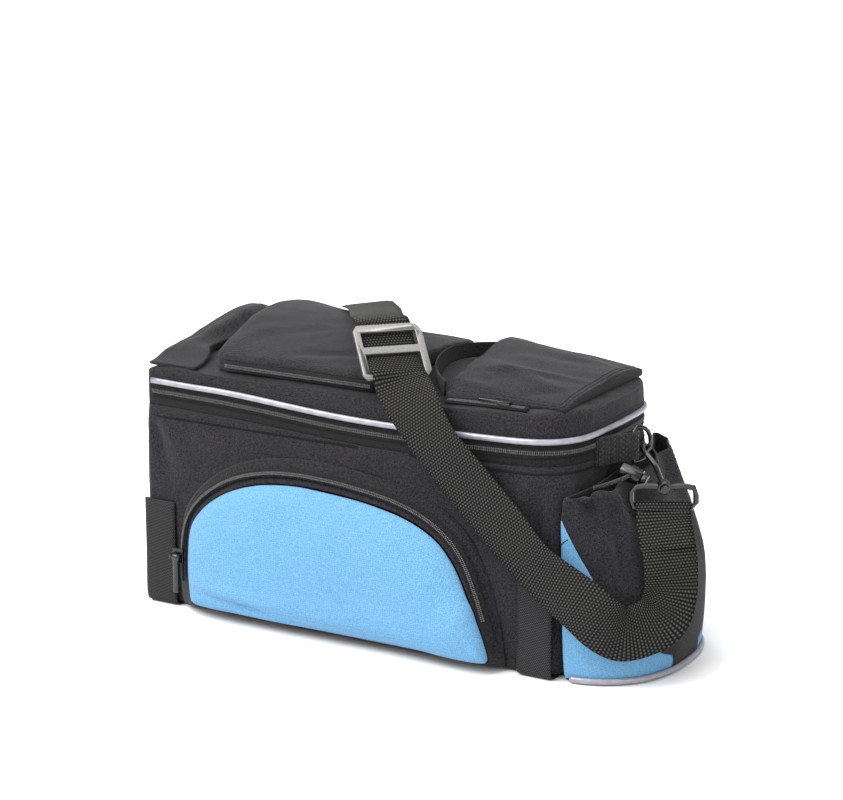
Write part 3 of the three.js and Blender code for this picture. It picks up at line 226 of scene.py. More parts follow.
black_cloth = woven_cloth("black_cloth", (0.0008, 0.0007, 0.0009), (0.0270, 0.0245, 0.0290), sheen=0.1)
inner_cloth = woven_cloth("inner_cloth", (0.0006, 0.0006, 0.0007), (0.020, 0.018, 0.021), sheen=0.05)
blue_cloth = woven_cloth("blue_cloth", (0.075, 0.215, 0.37), (0.150, 0.345, 0.55), pitch=1.5 * MM, grain=1300,
                         bump=0.22, rough=0.75, sheen=0.15, mottle=0.08)
tape_cloth = woven_cloth("zip_tape", (0.0005, 0.0005, 0.0006), (0.016, 0.015, 0.017), pitch=0.9 * MM,
                         sheen=0.05)
binding_cloth = woven_cloth("seam_binding", (0.0004, 0.0004, 0.0004), (0.005, 0.005, 0.005),
                            pitch=1.6 * MM, sheen=0.02)
tab_web = woven_cloth("tab_webbing", (0.002, 0.002, 0.002), (0.030, 0.029, 0.030), pitch=3.4 * MM, bump=1.0)
thread = satin("stitch_thread", (0.0008, 0.0008, 0.001), (0.006, 0.006, 0.007), 0.7, scale=2500, bump=0.3)
teeth = satin("zip_teeth", (0.035, 0.035, 0.035), (0.14, 0.14, 0.14), 0.35, scale=900)
# Strap and rack webbing colours run from painted groove shade to painted crest highlight.
strap_web = ribbed_webbing("strap_webbing", 2.1 * MM, 2.3 * MM, (0.0005, 0.0005, 0.0005),
                           (0.075, 0.073, 0.068), 1.0)
rack_web = ribbed_webbing("rack_webbing", 1.2 * MM, 1.4 * MM, (0.006, 0.006, 0.0065),
                          (0.070, 0.067, 0.072), 0.6)
silver_piping = satin("silver_piping", (0.27, 0.265, 0.30), (0.36, 0.355, 0.40), 0.34, metallic=0.3,
                      scale=160)
satin_metal = satin("satin_metal", (0.20, 0.197, 0.192), (0.26, 0.255, 0.248), 0.38, metallic=0.8,
                    scale=700, bump=0.08)
black_plastic = satin("black_plastic", (0.003, 0.003, 0.0035), (0.007, 0.007, 0.0075), 0.22, scale=300,
                      coat=0.15)
braid = woven_cloth("cord_braid", (0.006, 0.006, 0.006), (0.05, 0.048, 0.046), pitch=1.4 * MM, bump=0.9,
                    rough=0.5)


# Making and dressing pieces

def node_mesh(node):
    """The node's solid as a merged mesh, with its flat triangles joined into quads."""
    body = bmesh.new()
    body.from_mesh(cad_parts[node].data)
    bmesh.ops.transform(body, matrix=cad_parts[node].matrix_world, verts=body.verts)
    bmesh.ops.remove_doubles(body, verts=body.verts, dist=WELD_DISTANCE)
    bmesh.ops.join_triangles(body, faces=body.faces, angle_face_threshold=0.35, angle_shape_threshold=1.2)
    return body


def new_piece(name, body, material, nodes=(), body_name=BAG):
    """An object of the mesh, with its material and slot, in place of the named nodes."""
    mesh = bpy.data.meshes.new(name)
    body.to_mesh(mesh)
    body.free()
    piece = bpy.data.objects.new(name, mesh)
    bpy.context.collection.objects.link(piece)
    mesh.materials.append(material)
    for face in mesh.polygons:
        face.use_smooth = True
    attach(piece, body_name)
    if nodes:
        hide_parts(*nodes)
    return piece


def apply_modifiers(piece):
    bpy.ops.object.select_all(action="DESELECT")
    piece.select_set(True)
    bpy.context.view_layer.objects.active = piece
    for modifier in list(piece.modifiers):
        bpy.ops.object.modifier_apply(modifier=modifier.name)


def soften(piece, levels, crease=0.6, sharp=50):
    """Subdivision surface that keeps the sharper edges of the cloth as soft folds."""
    body = bmesh.new()
    body.from_mesh(piece.data)
    layer = body.edges.layers.float.get("crease_edge") or body.edges.layers.float.new("crease_edge")
    for edge in body.edges:
        if len(edge.link_faces) == 2 and edge.calc_face_angle(0) > math.radians(sharp):
            edge[layer] = crease
    body.to_mesh(piece.data)
    body.free()
    shape = piece.modifiers.new("soft", "SUBSURF")
    shape.levels = levels
    shape.render_levels = levels
    apply_modifiers(piece)


def clamp(value):
    return max(0.0, min(1.0, value))


def fold_depth(place, folds):
    """Sum of the folds at a place. A fold has a start and an end, in mm, a depth and a width."""
    total = 0.0
    for start, end, depth, width in folds:
        a = Vector(start)
        run = Vector(end) - a
        share = (place - a).dot(run) / run.length_squared
        inside = clamp(share)
        away = (place - a - run * inside).length
        if away < width * 3:
            taper = math.sin(math.pi * max(0.04, min(0.96, share))) ** 0.5
            total += depth * taper * math.exp(-((away / width) ** 2))
    return total


def ruffle(piece, middle, waves=(), folds=(), keep=None):
    """Moves the cloth in and out from a middle point. Waves are (amount, size, seed) in mm."""
    centre = Vector(middle) * MM
    normals = [vertex.normal.copy() for vertex in piece.data.vertices]
    moved = []
    for vertex, normal in zip(piece.data.vertices, normals):
        spot = vertex.co.copy()
        outward = normal if normal.dot(spot - centre) > 0 else -normal
        place = spot / MM
        move = fold_depth(place, folds)
        for amount, size, seed in waves:
            move += amount * noise.noise(place / size + Vector((seed, 0, 0)))
        if keep:
            move *= keep(place)
        moved.extend(spot + outward * (move * MM))
    piece.data.vertices.foreach_set("co", moved)
    piece.data.update()


def surface_of(piece):
    """A search tree on the piece's mesh, for laying stitches and cords on it."""
    body = bmesh.new()
    body.from_mesh(piece.data)
    body.transform(piece.matrix_world)
    tree = BVHTree.FromBMesh(body)
    body.free()
    return tree


def cast_route(tree, starts, way):
    """Where rays from the starts meet the piece: a list of (place, normal)."""
    hits = []
    for start in starts:
        direction = Vector(way) if not callable(way) else way(start)
        hit, normal, _, _ = tree.ray_cast(Vector(start) * MM, direction)
        if hit is not None:
            if normal.dot(direction) > 0:
                normal = -normal
            hits.append((hit, normal))
    return hits


def even_route(route, pitch):
    """The route resampled every pitch metres: a list of (place, normal, along)."""
    result = []
    carry = 0.0
    for (a, na), (b, nb) in zip(route, route[1:]):
        run = (b - a).length
        if run < 1e-7:
            continue
        s = carry
        while s < run:
            t = s / run
            result.append((a.lerp(b, t), na.lerp(nb, t).normalized(), (b - a) / run))
            s += pitch
        carry = s - run
    return result


def lay_copies(body, stations, profile, faces, lift):
    """Adds one small shape at each station. profile holds (along, across, up) in metres."""
    for place, normal, along in stations:
        side = normal.cross(along).normalized()
        ahead = side.cross(normal).normalized()
        verts = [body.verts.new(place + ahead * x + side * y + normal * (z + lift)) for x, y, z in profile]
        for face in faces:
            body.faces.new([verts[k] for k in face])


def capsule(length, width, height):
    """A small stitch: six-sided in section, with pinched ends."""
    ring = [(0.0, 1.0), (0.87, 0.5), (0.87, -0.5), (0.0, -1.0), (-0.87, -0.5), (-0.87, 0.5)]
    profile = []
    for x, size in ((-0.5, 0.35), (-0.28, 1.0), (0.28, 1.0), (0.5, 0.35)):
        for y, z in ring:
            profile.append((x * length, y * width * 0.5 * size, z * height * 0.5 * size))
    faces = []
    for r in range(3):
        for k in range(6):
            n = (k + 1) % 6
            faces.append((r * 6 + k, r * 6 + n, r * 6 + 6 + n, r * 6 + 6 + k))
    faces.append((5, 4, 3, 2, 1, 0))
    faces.append((18, 19, 20, 21, 22, 23))
    return profile, faces


def merged_piece(name, build, material):
    """One object of all the small shapes that build adds."""
    body = bmesh.new()
    build(body)
    bmesh.ops.recalc_face_normals(body, faces=body.faces)
    return new_piece(name, body, material)


def stitches(name, routes, pitch=3.1, length=2.3, width=0.75):
    """Rows of thread stitches along the routes."""
    profile, faces = capsule(length * MM, width * MM, 0.55 * MM)

    def build(body):
        for route in routes:
            lay_copies(body, even_route(route, pitch * MM), profile, faces, 0.2 * MM)

    return merged_piece(name, build, thread)


def edge_line(tree, starts, inward, way, inset, reach=60, step=0.6, limit=400):
    """A line that keeps inset mm from the piece's edge. Each start moves inward until a ray meets it."""
    line = []
    for k, start in enumerate(starts):
        move = Vector(inward[k] if isinstance(inward, list) else inward)
        aim = Vector(way[k] if isinstance(way, list) else way)
        spot = Vector(start)
        for _ in range(int(reach / step)):
            if tree.ray_cast(spot * MM, aim, limit * MM)[0] is not None:
                line.extend(cast_route(tree, [spot + move * inset], aim))
                break
            spot = spot + move * step
    return line


def calm(route, rounds=2):
    """The route with its small jumps evened out."""
    for _ in range(rounds):
        evened = [route[0]]
        for k in range(1, len(route) - 1):
            place = route[k][0] * 0.5 + (route[k - 1][0] + route[k + 1][0]) * 0.25
            normal = (route[k][1] * 0.5 + (route[k - 1][1] + route[k + 1][1]) * 0.25).normalized()
            evened.append((place, normal))
        evened.append(route[-1])
        route = evened
    return route


def run_at(places, k):
    """The step from the place before one to the place after it."""
    return places[min(k + 1, len(places) - 1)] - places[max(k - 1, 0)]


def shifted(route, aside, up=0.0):
    """The route moved sideways across its surface, and off it."""
    places = [place for place, _ in route]
    result = []
    for k, (place, normal) in enumerate(route):
        side = normal.cross(run_at(places, k).normalized())
        result.append((place + side * (aside * MM) + normal * (up * MM), normal))
    return result


def zip_chain(name, routes, pitch=1.35, half=1.15):
    """Two rows of coil turns that meet at the middle of the tape."""
    profile, faces = capsule(half * 1.2 * MM, 0.95 * MM, 1.2 * MM)
    turned = [(y, x, z) for x, y, z in profile]

    def build(body):
        for route in routes:
            for way in (-1, 1):
                row = even_route(shifted(route, way * half * 0.62), pitch * MM)
                lay_copies(body, row, turned, faces, 0.45 * MM)

    return merged_piece(name, build, teeth)


def strip(name, route, width, height, material, sides=6):
    """A flat raised band or cord of rounded section that follows a route on a surface."""
    body = bmesh.new()
    places = [place for place, _ in route]
    count = sides * 2
    rings = []
    for k, (place, normal) in enumerate(route):
        along = run_at(places, k).normalized()
        side = normal.cross(along).normalized()
        ring = []
        for j in range(count):
            turn = math.tau * j / count
            ring.append(body.verts.new(place + side * (math.cos(turn) * width * 0.5 * MM)
                                       + normal * (math.sin(turn) * height * 0.5 * MM)))
        rings.append(ring)
    for low, high in zip(rings, rings[1:]):
        for j in range(count):
            n = (j + 1) % count
            body.faces.new((low[j], low[n], high[n], high[j]))
    body.faces.new(rings[0][::-1])
    body.faces.new(rings[-1])
    bmesh.ops.recalc_face_normals(body, faces=body.faces)
    return new_piece(name, body, material)


def smooth_line(points, steps, spacing=None):
    """Points of a centripetal Catmull-Rom line through the given ones, steps to a span."""
    def padded_ends(values):
        values = [Vector(value) for value in values]
        return [2 * values[0] - values[1]] + values + [2 * values[-1] - values[-2]]

    values = padded_ends(points)
    marks = padded_ends(spacing or points)
    line = []
    for k in range(1, len(values) - 2):
        x0, x1, x2, x3 = values[k - 1:k + 3]
        d0, d1, d2 = (max((marks[j + 1] - marks[j]).length, 1e-3) ** 0.5 for j in (k - 1, k, k + 1))
        leave = ((x1 - x0) / d0 - (x2 - x0) / (d0 + d1) + (x2 - x1) / d1) * d1
        arrive = ((x2 - x1) / d1 - (x3 - x1) / (d1 + d2) + (x3 - x2) / d2) * d1
        for s in range(steps):
            t = s / steps
            line.append(x1 + leave * t + (3 * (x2 - x1) - 2 * leave - arrive) * t ** 2
                        + (2 * (x1 - x2) + leave + arrive) * t ** 3)
    line.append(values[-2])
    return line


# Body

body_cloth = new_piece("body_cloth", node_mesh("body_shell"), black_cloth, ("body_shell",))
soften(body_cloth, 3, 0.5)
body_folds = [
    ((122, -80, 150), (110, -80, 82), 3.6, 5),
    ((134, -78, 150), (128, -80, 90), -3.4, 4.5),
    ((100, -80, 148), (84, -80, 112), -2.8, 5),
    ((147, -60, 146), (143, -64, 70), 2.6, 4.5),
    ((152, 10, 150), (150, -30, 120), -2.6, 6),
    ((-196, -76, 150), (-178, -80, 92), -2.8, 5),
    ((-186, -80, 144), (-160, -80, 110), 2.6, 5),
    ((-150, -80, 150), (-104, -80, 132), -2.0, 4),
    ((140, -60, 140), (128, -78, 60), -2.2, 7),
    ((60, -80, 128), (130, -80, 112), -1.6, 6),
    ((-180, -78, 120), (-110, -80, 135), 1.4, 8),
    ((-196, -40, 130), (-196, 40, 90), -2.0, 10),
    ((118, -80, 140), (145, -74, 20), -1.5, 5),
]
ruffle(body_cloth, (-25, 0, 75), ((1.6, 60, 3.0), (0.8, 24, 8.0), (0.35, 9, 4.0)), body_folds,
       lambda p: clamp((p.z - 4) / 12) * clamp((151 - p.z) / 14))


# Lid

lid_cloth = new_piece("lid_cloth", node_mesh("lid_shell"), black_cloth, ("lid_shell",))
soften(lid_cloth, 3, 0.55)
lid_folds = [
    ((-190, -70, 184), (-150, -76, 176), 1.2, 5),
    ((-120, -76, 183), (-60, -76, 179), -0.9, 5),
    ((120, -70, 190), (148, -40, 182), 1.0, 6),
]
ruffle(lid_cloth, (-25, 0, 172), ((1.0, 45, 5.0), (0.5, 16, 2.0), (0.3, 8, 6.0)), lid_folds,
       lambda p: clamp((p.z - 168) / 6))

for soft_node, material, slot in (("lid_hinge", black_cloth, "cloth"), ("main_zipper", tape_cloth, "zip")):
    piece = new_piece(soft_node + "_cloth", node_mesh(soft_node), material, (soft_node,))
    soften(piece, 2, 0.8)


# Top pocket and slip pouch

top_pocket = new_piece("top_pocket_cloth", node_mesh("top_pocket"), black_cloth, ("top_pocket",))
soften(top_pocket, 3, 0.45, 60)
ruffle(top_pocket, (-80, 0, 185), ((1.4, 40, 1.0), (0.6, 15, 4.0)), [
    ((-152, 62, 212), (-142, -60, 196), 1.8, 3.5),
    ((-150, 40, 205), (-70, -20, 200), 2.4, 7),
    ((-90, -58, 196), (-20, -30, 203), -1.8, 5),
    ((-60, 30, 210), (-10, 55, 208), -2.0, 7),
    ((-120, 55, 212), (-30, 10, 200), -1.6, 8),
    ((-140, -20, 200), (-110, -55, 195), -1.4, 6),
    ((-100, -62, 194), (-40, -50, 199), 1.0, 6),
], lambda p: clamp((p.z - 188) / 6))

pouch = new_piece("flap_pouch_cloth", node_mesh("flap_pouch"), black_cloth, ("flap_pouch",))
soften(pouch, 3, 0.7, 45)
ruffle(pouch, (90, 0, 180), ((1.2, 34, 6.0), (0.6, 13, 9.0)), [
    ((50, -50, 197), (100, -62, 195), 2.6, 6),
    ((56, -30, 203), (134, -10, 200), 1.6, 4),
    ((60, 50, 204), (132, 44, 200), -1.8, 6),
    ((60, -20, 204), (132, -38, 196), 1.8, 7),
    ((70, 10, 206), (130, 30, 204), -1.4, 8),
    ((100, -60, 194), (135, -30, 198), -1.2, 5),
], lambda p: clamp((p.z - 191) / 6))

lip = new_piece("pouch_lip_cloth", node_mesh("pouch_lip"), inner_cloth, ("pouch_lip",))
soften(lip, 3, 0.7)

handle = new_piece("carry_handle_cloth", node_mesh("carry_handle"), black_cloth, ("carry_handle",))
soften(handle, 3, 0.5)
# The handle's inner side sags toward the lid.
for vertex in handle.data.vertices:
    hang = clamp((vertex.co.x / MM + 188) / 12) * clamp((vertex.co.y / MM + 40) / 50)
    vertex.co.z -= 8.0 * MM * hang * clamp((74 - vertex.co.y / MM) / 12)
    vertex.co.x += 3.0 * MM * hang
ruffle(handle, (-185, 0, 190), ((0.8, 18, 2.0),), [
    ((-186, -45, 192), (-184, 60, 206), 2.2, 5),
    ((-196, -30, 192), (-196, 60, 204), -1.2, 4),
])


# Side pockets

def side_pocket(label, way):
    """The arched pocket on one long side. Its gusset and zip tape are stitched later."""
    gusset = new_piece(f"side_gusset_cloth_{label}", node_mesh(f"side_pocket_gusset_{label}"), black_cloth,
                       (f"side_pocket_gusset_{label}",))
    soften(gusset, 2, 0.6)
    panel = new_piece(f"side_panel_cloth_{label}", node_mesh(f"side_pocket_panel_{label}"), blue_cloth,
                      (f"side_pocket_panel_{label}",))
    soften(panel, 3, 0.4)
    ruffle(panel, (-25, 0, 60), ((1.5, 70, 7.0), (0.5, 26, 3.0)), [
        ((-140, way * 99, 22), (-78, way * 101, 16), -3.4, 3.6),
        ((-146, way * 99, 30), (-70, way * 102, 24), 2.4, 5),
        ((-60, way * 101, 12), (40, way * 101, 12), -1.6, 5),
        ((60, way * 100, 14), (96, way * 98, 60), 1.6, 8),
        ((-120, way * 102, 100), (-40, way * 104, 108), 1.2, 9),
    ])
    tape = new_piece(f"side_zip_tape_{label}", node_mesh(f"side_pocket_zip_{label}"), tape_cloth,
                     (f"side_pocket_zip_{label}",))
    soften(tape, 2, 0.8)
    return gusset, tape


front_pocket = side_pocket("front", -1)
back_pocket = side_pocket("back", 1)


# End pocket

end_pocket = new_piece("end_pocket_cloth", node_mesh("end_pocket"), black_cloth, ("end_pocket",))
soften(end_pocket, 2, 0.5, 55)
ruffle(end_pocket, (165, 0, 70), ((1.0, 30, 2.0), (0.5, 11, 5.0)), [
    ((157, -68, 138), (168, -60, 110), -5.0, 4.5),
    ((160, -64, 135), (180, -42, 124), 4.2, 5),
    ((175, -52, 132), (187, -58, 72), -4.2, 5),
    ((164, -68, 98), (180, -62, 92), 3.2, 9),
    ((152, -74, 134), (158, -72, 112), 2.0, 4),
    ((196, -40, 140), (202, -36, 92), -2.4, 5),
    ((188, -46, 120), (178, -60, 106), -2.0, 4),
    ((204, -10, 140), (208, -8, 90), 2.0, 5),
    ((204, 14, 140), (208, 16, 92), -2.2, 5),
    ((196, 38, 140), (202, 36, 96), 2.0, 5),
], lambda p: clamp((p.x - 150) / 8) * clamp((p.z - 40) / 30))
end_front = new_piece("end_panel_cloth_front", node_mesh("end_pocket_front_panel"), blue_cloth,
                      ("end_pocket_front_panel",))
soften(end_front, 2, 0.8, 45)
end_back = new_piece("end_panel_cloth_back", node_mesh("end_pocket_back_panel"), blue_cloth,
                     ("end_pocket_back_panel",))
soften(end_back, 2, 0.8, 45)


# Straps

STRAP_WIDTH = 38
STRAP_THICKNESS = 1.7
STRAP_STEPS = 10
RACK_WEB_THICKNESS = 1.8

# Places on the shoulder strap and the way across it, from the right loop over the bag to the left loop.
STRAP = [
    ((196.5, -21.1, 111.7), (0.86, 0.51, 0.00)),
    ((196.3, -20.7, 119.7), (0.86, 0.51, 0.00)),
    ((198.3, -24.1, 123.6), (0.86, 0.51, 0.00)),
    ((200.3, -27.5, 119.7), (0.86, 0.51, 0.00)),
    ((201.0, -28.8, 112.7), (0.86, 0.51, 0.00)),
    ((210.8, -37.8, 89.9), (0.77, 0.64, 0.00)),
    ((212.0, -39.3, 62.5), (0.76, 0.64, -0.12)),
    ((210.8, -52.0, 49.6), (0.71, 0.41, -0.58)),
    ((194.6, -71.5, 42.4), (0.30, 0.17, -0.94)),
    ((185.0, -85.8, 51.0), (-0.09, -0.05, -1.00)),
    ((171.2, -91.8, 64.0), (-0.37, -0.22, -0.90)),
    ((134.4, -90.8, 85.8), (-0.62, 0.10, -0.78)),
    ((106.5, -89.8, 111.7), (-0.71, 0.00, -0.71)),
    ((78.7, -89.8, 138.3), (-0.77, 0.00, -0.64)),
    ((54.3, -90.8, 163.5), (-0.85, 0.00, -0.52)),
    ((38.7, -87.8, 182.8), (-0.90, -0.21, -0.38)),
    ((19.9, -75.5, 198.2), (-0.85, -0.52, -0.10)),
    ((17.0, -73.4, 203.2), (-0.68, -0.73, 0.00)),
    ((9.0, -66.0, 208.4), (-0.68, -0.73, 0.00)),
    ((3.4, -60.8, 211.9), (-0.68, -0.73, 0.00)),
    ((-0.3, -57.3, 216.6), (-0.68, -0.73, 0.00)),
    ((-7.7, -50.4, 225.7), (-0.68, -0.73, 0.00)),
    ((-11.7, -46.6, 231.4), (-0.68, -0.73, 0.00)),
    ((-20.5, -39.8, 232.8), (-0.68, -0.73, 0.00)),
    ((-57.9, 17.3, 223.0), (-0.68, -0.73, 0.00)),
    ((-98.8, 72.6, 211.9), (-0.68, -0.73, 0.00)),
    ((-106.8, 97.2, 197.9), (-0.85, -0.42, 0.31)),
    ((-122.8, 98.2, 173.9), (-0.80, 0.00, 0.60)),
    ((-151.0, 97.2, 99.8), (-0.75, 0.00, 0.67)),
    ((-192.8, 96.2, 67.3), (-0.60, 0.00, 0.80)),
    ((-215.7, 80.2, 48.0), (-0.25, 0.31, 0.92)),
    ((-224.2, 35.3, 34.9), (0.00, 0.24, 0.97)),
    ((-222.2, 10.3, 34.9), (0.00, 0.87, 0.49)),
    ((-220.2, 1.3, 46.9), (0.00, 1.00, 0.10)),
    ((-219.2, 1.3, 58.9), (0.00, 1.00, 0.00)),
    ((-220.1, 1.3, 74.9), (0.00, 1.00, 0.00)),
    ((-220.1, 1.3, 82.9), (0.00, 1.00, 0.00)),
    ((-216.2, 1.3, 86.8), (0.00, 1.00, 0.00)),
    ((-212.3, 1.3, 82.9), (0.00, 1.00, 0.00)),
    ((-212.7, 1.3, 74.9), (0.00, 1.00, 0.00)),
]


def webbing(name, places, acrosses, width, thick, material, nodes, columns=10):
    """A woven strap with rounded selvedges and a UV map in metres."""
    body = bmesh.new()
    layer = body.loops.layers.uv.new("strap")
    section = []
    for k in range(columns + 1):
        u = -1 + 2 * k / columns
        section.append((u, 0.5 * (1 - abs(u) ** 8 * 0.75)))
    outline = [(u, h) for u, h in section] + [(u, -h) for u, h in reversed(section)]
    rings = []
    distance = 0.0
    for k, (place, across) in enumerate(zip(places, acrosses)):
        along = run_at(places, k).normalized()
        side = (across - along * across.dot(along)).normalized()
        face = along.cross(side)
        if k:
            distance += (place - places[k - 1]).length * MM
        ring = []
        for u, h in outline:
            spot = (place + side * (u * width / 2) + face * (h * thick)) * MM
            ring.append((body.verts.new(spot), (u * width / 2 * MM, distance)))
        rings.append(ring)
    count = len(outline)
    for low, high in zip(rings, rings[1:]):
        for j in range(count):
            corners = (low[j], low[(j + 1) % count], high[(j + 1) % count], high[j])
            made = body.faces.new([c[0] for c in corners])
            for loop, corner in zip(made.loops, corners):
                loop[layer].uv = corner[1]
    for ring, order in ((rings[0], -1), (rings[-1], 1)):
        made = body.faces.new([c[0] for c in ring[::order]])
        for loop in made.loops:
            loop[layer].uv = (0, 0)
    bmesh.ops.recalc_face_normals(body, faces=body.faces)
    return new_piece(name, body, material, nodes)


strap_places = [place for place, _ in STRAP]
strap_line = smooth_line(strap_places, STRAP_STEPS)
strap_turns = smooth_line([across for _, across in STRAP], STRAP_STEPS, strap_places)
webbing("shoulder_strap_web", strap_line, strap_turns, STRAP_WIDTH, STRAP_THICKNESS, strap_web,
        ("shoulder_strap",))

# The strap's end comes back over itself below the right loop, under a row of stitches.
FOLD_ACROSS = Vector((0.84, 0.54, 0))
FOLD_OUTWARD = Vector((0.51, -0.86, 0))
fold_line = smooth_line([(200.9, -29.4, 119.0), (202.1, -30.9, 112.7), (206.4, -35.2, 102.5),
                         (209.2, -38.0, 95.5)], 6)
strap_fold = webbing("strap_fold_web", fold_line, [FOLD_ACROSS] * len(fold_line), 37.6, 1.5, strap_web, ())
hem_middle = Vector((208.0, -37.0, 97.5))
hem = [hem_middle + FOLD_ACROSS * s + FOLD_OUTWARD * 20 for s in range(-17, 18, 2)]
stitches("strap_fold_stitches", [cast_route(surface_of(strap_fold), hem, -FOLD_OUTWARD)])


def straight_web(label):
    """The rack strap rebuilt from its own box, with a soft bend at each lower corner."""
    low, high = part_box(f"rack_strap_{label}")
    x = (low[0] + high[0]) / 2 / MM
    width = (high[0] - low[0]) / MM
    half = RACK_WEB_THICKNESS / 2
    near = low[1] / MM + half
    far = high[1] / MM - half
    top = high[2] / MM
    points = [(x, near, top), (x, near, top * 0.5), (x, near, 6), (x, near + 1.6, 2.2), (x, near + 6, half),
              (x, 0, half), (x, far - 6, half), (x, far - 1.6, 2.2), (x, far, 6), (x, far, top * 0.5),
              (x, far, top)]
    line = smooth_line(points, 8)
    webbing(f"rack_strap_web_{label}", line, [Vector((1, 0, 0))] * len(line), width, RACK_WEB_THICKNESS,
            rack_web, (f"rack_strap_{label}",))


for label in ("left", "right"):
    straight_web(label)


# Hard pieces keep their solids and get finer edges and finishes.

def finish_node(node, material, edge=0.0004, sharp=35, segments=2):
    """Gives a node its material, welded smooth faces, and rounded edges where edge isn't 0."""
    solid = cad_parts[node]
    solid.data.materials.clear()
    solid.data.materials.append(material)
    weld = solid.modifiers.new("weld", "WELD")
    weld.merge_threshold = WELD_DISTANCE
    if edge:
        round_edges = solid.modifiers.new("edges", "BEVEL")
        round_edges.width = edge
        round_edges.segments = segments
        round_edges.limit_method = "ANGLE"
        round_edges.angle_limit = math.radians(sharp)
    for face in solid.data.polygons:
        face.use_smooth = True


for node in ("d_ring_right", "d_ring_left", "snap_hook_right", "snap_hook_left", "strap_loop_right",
             "strap_loop_left", "cord_lock_body", "cord_lock_button", "lid_zip_slider",
             "side_pocket_slider_front", "side_pocket_slider_back", "side_pocket_pull_front",
             "side_pocket_pull_back"):
    finish_node(node, black_plastic, 0.0003)
finish_node("slider_buckle", satin_metal, 0.0009, 35, 3)
for node in ("ring_tab_right", "ring_tab_left"):
    finish_node(node, tab_web, 0.0003)
for node in ("top_pocket_zip", "lid_zip"):
    finish_node(node, tape_cloth, 0)
finish_node("drawstring", braid, 0)


# Zip chains, seams and stitches

LID_EDGE = [(-193.3, -80.2, 173.0), (-142.5, -80.2, 172.0), (-91.6, -80.2, 170.1), (-40.8, -80.2, 167.1),
            (10.0, -80.2, 165.1), (60.9, -80.2, 167.1), (111.7, -80.2, 168.8), (126.1, -77.3, 169.0),
            (138.9, -69.3, 169.0), (148.5, -57.2, 169.0), (152.8, -43.0, 169.0), (154.8, -0.3, 169.0),
            (152.8, 42.4, 169.0), (148.5, 56.7, 169.0), (138.9, 68.7, 169.0), (126.1, 76.8, 169.0),
            (111.7, 79.6, 168.8), (60.9, 79.6, 167.1), (10.0, 79.6, 165.1), (-40.8, 79.6, 167.1),
            (-91.6, 79.6, 170.1), (-142.5, 79.6, 172.0), (-193.3, 79.6, 173.0)]
CALM_HEIGHT_ROUNDS = 40
STAND_OFF = 14
NEAREST_SPOTS = 8
PIPING_SPOTS = [vertex.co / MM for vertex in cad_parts["lid_piping"].data.vertices]


def piping_height(spot):
    """Height of the lid's piping, in mm, from the solid's points nearest to a place in plan."""
    near = sorted(PIPING_SPOTS, key=lambda p: (p.x - spot.x) ** 2 + (p.y - spot.y) ** 2)
    near = near[:NEAREST_SPOTS]
    return sum(p.z for p in near) / len(near)


def round_bag(piece, above_piping=None, level=None):
    """A line round the front, right end and back, at a height over the piping's own or at one level."""
    tree = surface_of(piece)
    line = smooth_line(LID_EDGE, 8)
    heights = [piping_height(spot) for spot in line]
    for _ in range(CALM_HEIGHT_ROUNDS):
        inner = [(a + b + c) / 3 for a, b, c in zip(heights, heights[1:], heights[2:])]
        heights = [heights[0]] + inner + [heights[-1]]
    found = []
    for k, spot in enumerate(line):
        along = run_at(line, k)
        outward = Vector((along.y, -along.x, 0)).normalized()
        height = level if level is not None else heights[k] + above_piping
        start = Vector((spot.x, spot.y, height)) + outward * STAND_OFF
        found.extend(cast_route(tree, [start], -outward))
    return calm(found)


strip("lid_piping_band", shifted(round_bag(lid_cloth, above_piping=-0.6), 0, 0.9), 4.4, 3.4, silver_piping,
      8)
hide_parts("lid_piping")
strip("lid_piping_welt", shifted(round_bag(lid_cloth, above_piping=-3.2), 0, 0.2), 2.4, 1.6,
      binding_cloth)
main_chain = round_bag(bpy.data.objects["main_zipper_cloth"], above_piping=-8.6)
zip_chain("main_zip_teeth", [main_chain], 1.5, 1.3)
for name, aside in (("main_zip_edge_high", -4.0), ("main_zip_edge_low", 4.0)):
    strip(name, shifted(main_chain, aside, 0.1), 1.4, 1.0, binding_cloth)
lid_seam = round_bag(lid_cloth, above_piping=4.6)
body_seam = round_bag(body_cloth, level=147.0)
stitches("lid_seam_stitches", [lid_seam])
stitches("body_seam_stitches", [body_seam])
strip("body_seam_cord", shifted(body_seam, -1.6, -0.1), 1.6, 1.2, binding_cloth)


def arch_line(piece, way, inset, sweep=(4, 176), count=70):
    """A line inside a pocket arch that keeps inset mm from its outer edge."""
    tree = surface_of(piece)
    middle = Vector((-30, way * 140, 22))
    reach = 170
    starts = []
    inward = []
    for k in range(count + 1):
        turn = math.radians(sweep[0] + (sweep[1] - sweep[0]) * k / count)
        out = Vector((math.cos(turn), 0, math.sin(turn)))
        starts.append(middle + out * reach)
        inward.append(-out)
    return calm(edge_line(tree, starts, inward, (0, -way, 0), inset, reach))


for label, way, (gusset, tape) in (("front", -1, front_pocket), ("back", 1, back_pocket)):
    zip_chain(f"side_zip_teeth_{label}", [arch_line(tape, way, 3.4, (8, 172))])
    stitches(f"side_gusset_stitches_{label}", [arch_line(gusset, way, 1.6)])


def row_along(tree, first, last, y, z, way):
    """A line from one X to another, every 3 mm, cast onto the piece."""
    return calm(cast_route(tree, [(x, y, z) for x in range(first, last, 3)], way))


top_tree = surface_of(top_pocket)
stitches("top_pocket_stitches", [row_along(top_tree, -143, 2, -110, level, (0, 1, 0))
                                 for level in (186.6, 193.4)])
tape_tree = surface_of(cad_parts["top_pocket_zip"])
zip_chain("top_zip_teeth", [row_along(tape_tree, -132, -8, -110, 189.2, (0, 1, 0))])
short_tree = surface_of(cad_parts["lid_zip"])
zip_chain("lid_zip_teeth", [row_along(short_tree, 54, 115, -69.1, 230, (0, 0, -1))])

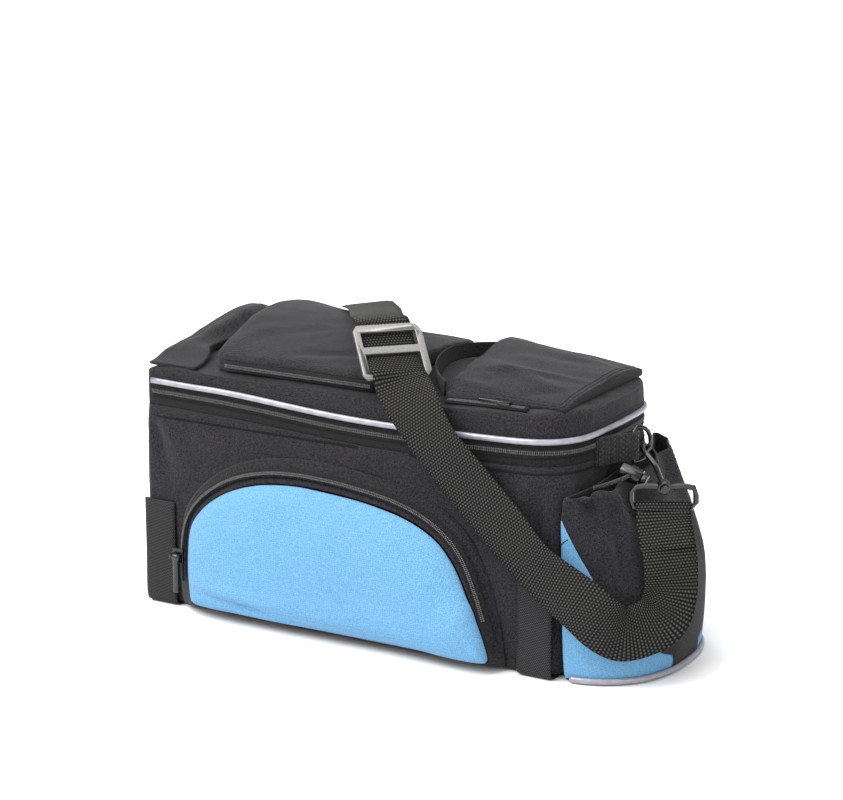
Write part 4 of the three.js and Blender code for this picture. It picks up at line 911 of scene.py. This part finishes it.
ABOVE_LID = 250
POUCH_SIDES = (
    ([(x, -84, ABOVE_LID) for x in range(50, 136, 3)], (0, 1, 0)),
    ([(156, y, ABOVE_LID) for y in range(-56, 62, 3)], (-1, 0, 0)),
    ([(x, 86, ABOVE_LID) for x in range(50, 136, 3)], (0, -1, 0)),
)
pouch_tree = surface_of(pouch)
pouch_rows = []
for inset in (2.5, 5.5):
    for starts, inward in POUCH_SIDES:
        pouch_rows.append(calm(edge_line(pouch_tree, starts, inward, (0, 0, -1), inset)))
stitches("flap_pouch_stitches", pouch_rows)


def fan(first, last, count, stretch):
    """Directions in plan from one angle to another, stretched along Y."""
    turns = [math.radians(first + (last - first) * k / count) for k in range(count + 1)]
    return [Vector((math.cos(turn), math.sin(turn) * stretch, 0)) for turn in turns]


end_tree = surface_of(end_pocket)
rim_fan = fan(-84, 84, 140, 1.15)
rim_starts = [Vector((146, 0, 150)) + out * 110 for out in rim_fan]
rim_aims = [-out.normalized() for out in rim_fan]
rim_rows = []
for inset in (3.0, 6.0, 9.0):
    rim_rows.append(calm(edge_line(end_tree, rim_starts, (0, 0, -1), rim_aims, inset, 60, 0.5, 78)))
stitches("end_rim_stitches", rim_rows)

foot = [surface_of(panel) for panel in (end_front, end_pocket, end_back)]
foot_line = []
for out in fan(-86, 86, 90, 1.2):
    start = (Vector((150, 0, 5.5)) + out * 100) * MM
    hits = [tree.ray_cast(start, -out.normalized()) for tree in foot]
    near = min((hit for hit in hits if hit[0] is not None), key=lambda hit: hit[3], default=None)
    if near is not None:
        foot_line.append((near[0] - Vector((0, 0, 2.4 * MM)), out.normalized()))
strip("end_pocket_piping_band", shifted(calm(foot_line, 4), 0, 1.0), 4.4, 3.6, silver_piping, 8)
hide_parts("end_pocket_piping")

tack_tree = surface_of(end_front)
tack_starts = [(146.5 + k * 0.9, -130, 99.5 + k * 0.75) for k in range(9)]
tack = cast_route(tack_tree, tack_starts, (0, 1, 0))
puff_starts = [(153 + k * 0.75, -130, 107 + k * 0.78) for k in range(25)]
puff_seam = cast_route(end_tree, puff_starts, (0.1, 1, 0))
stitches("end_tack_stitches", [route for route in (tack, puff_seam) if len(route) > 3], 1.8, 1.6, 0.9)


# Floor

bpy.ops.object.select_all(action="DESELECT")
bpy.ops.mesh.primitive_plane_add(size=60, location=(0, 0, 0))
floor = bpy.context.active_object
floor.name = "floor"
floor_material, floor_tree, floor_surface = shader("pale_floor")
floor_surface.inputs["Base Color"].default_value = (0.93, 0.93, 0.93, 1)
floor_surface.inputs["Roughness"].default_value = 0.9
floor.data.materials.append(floor_material)
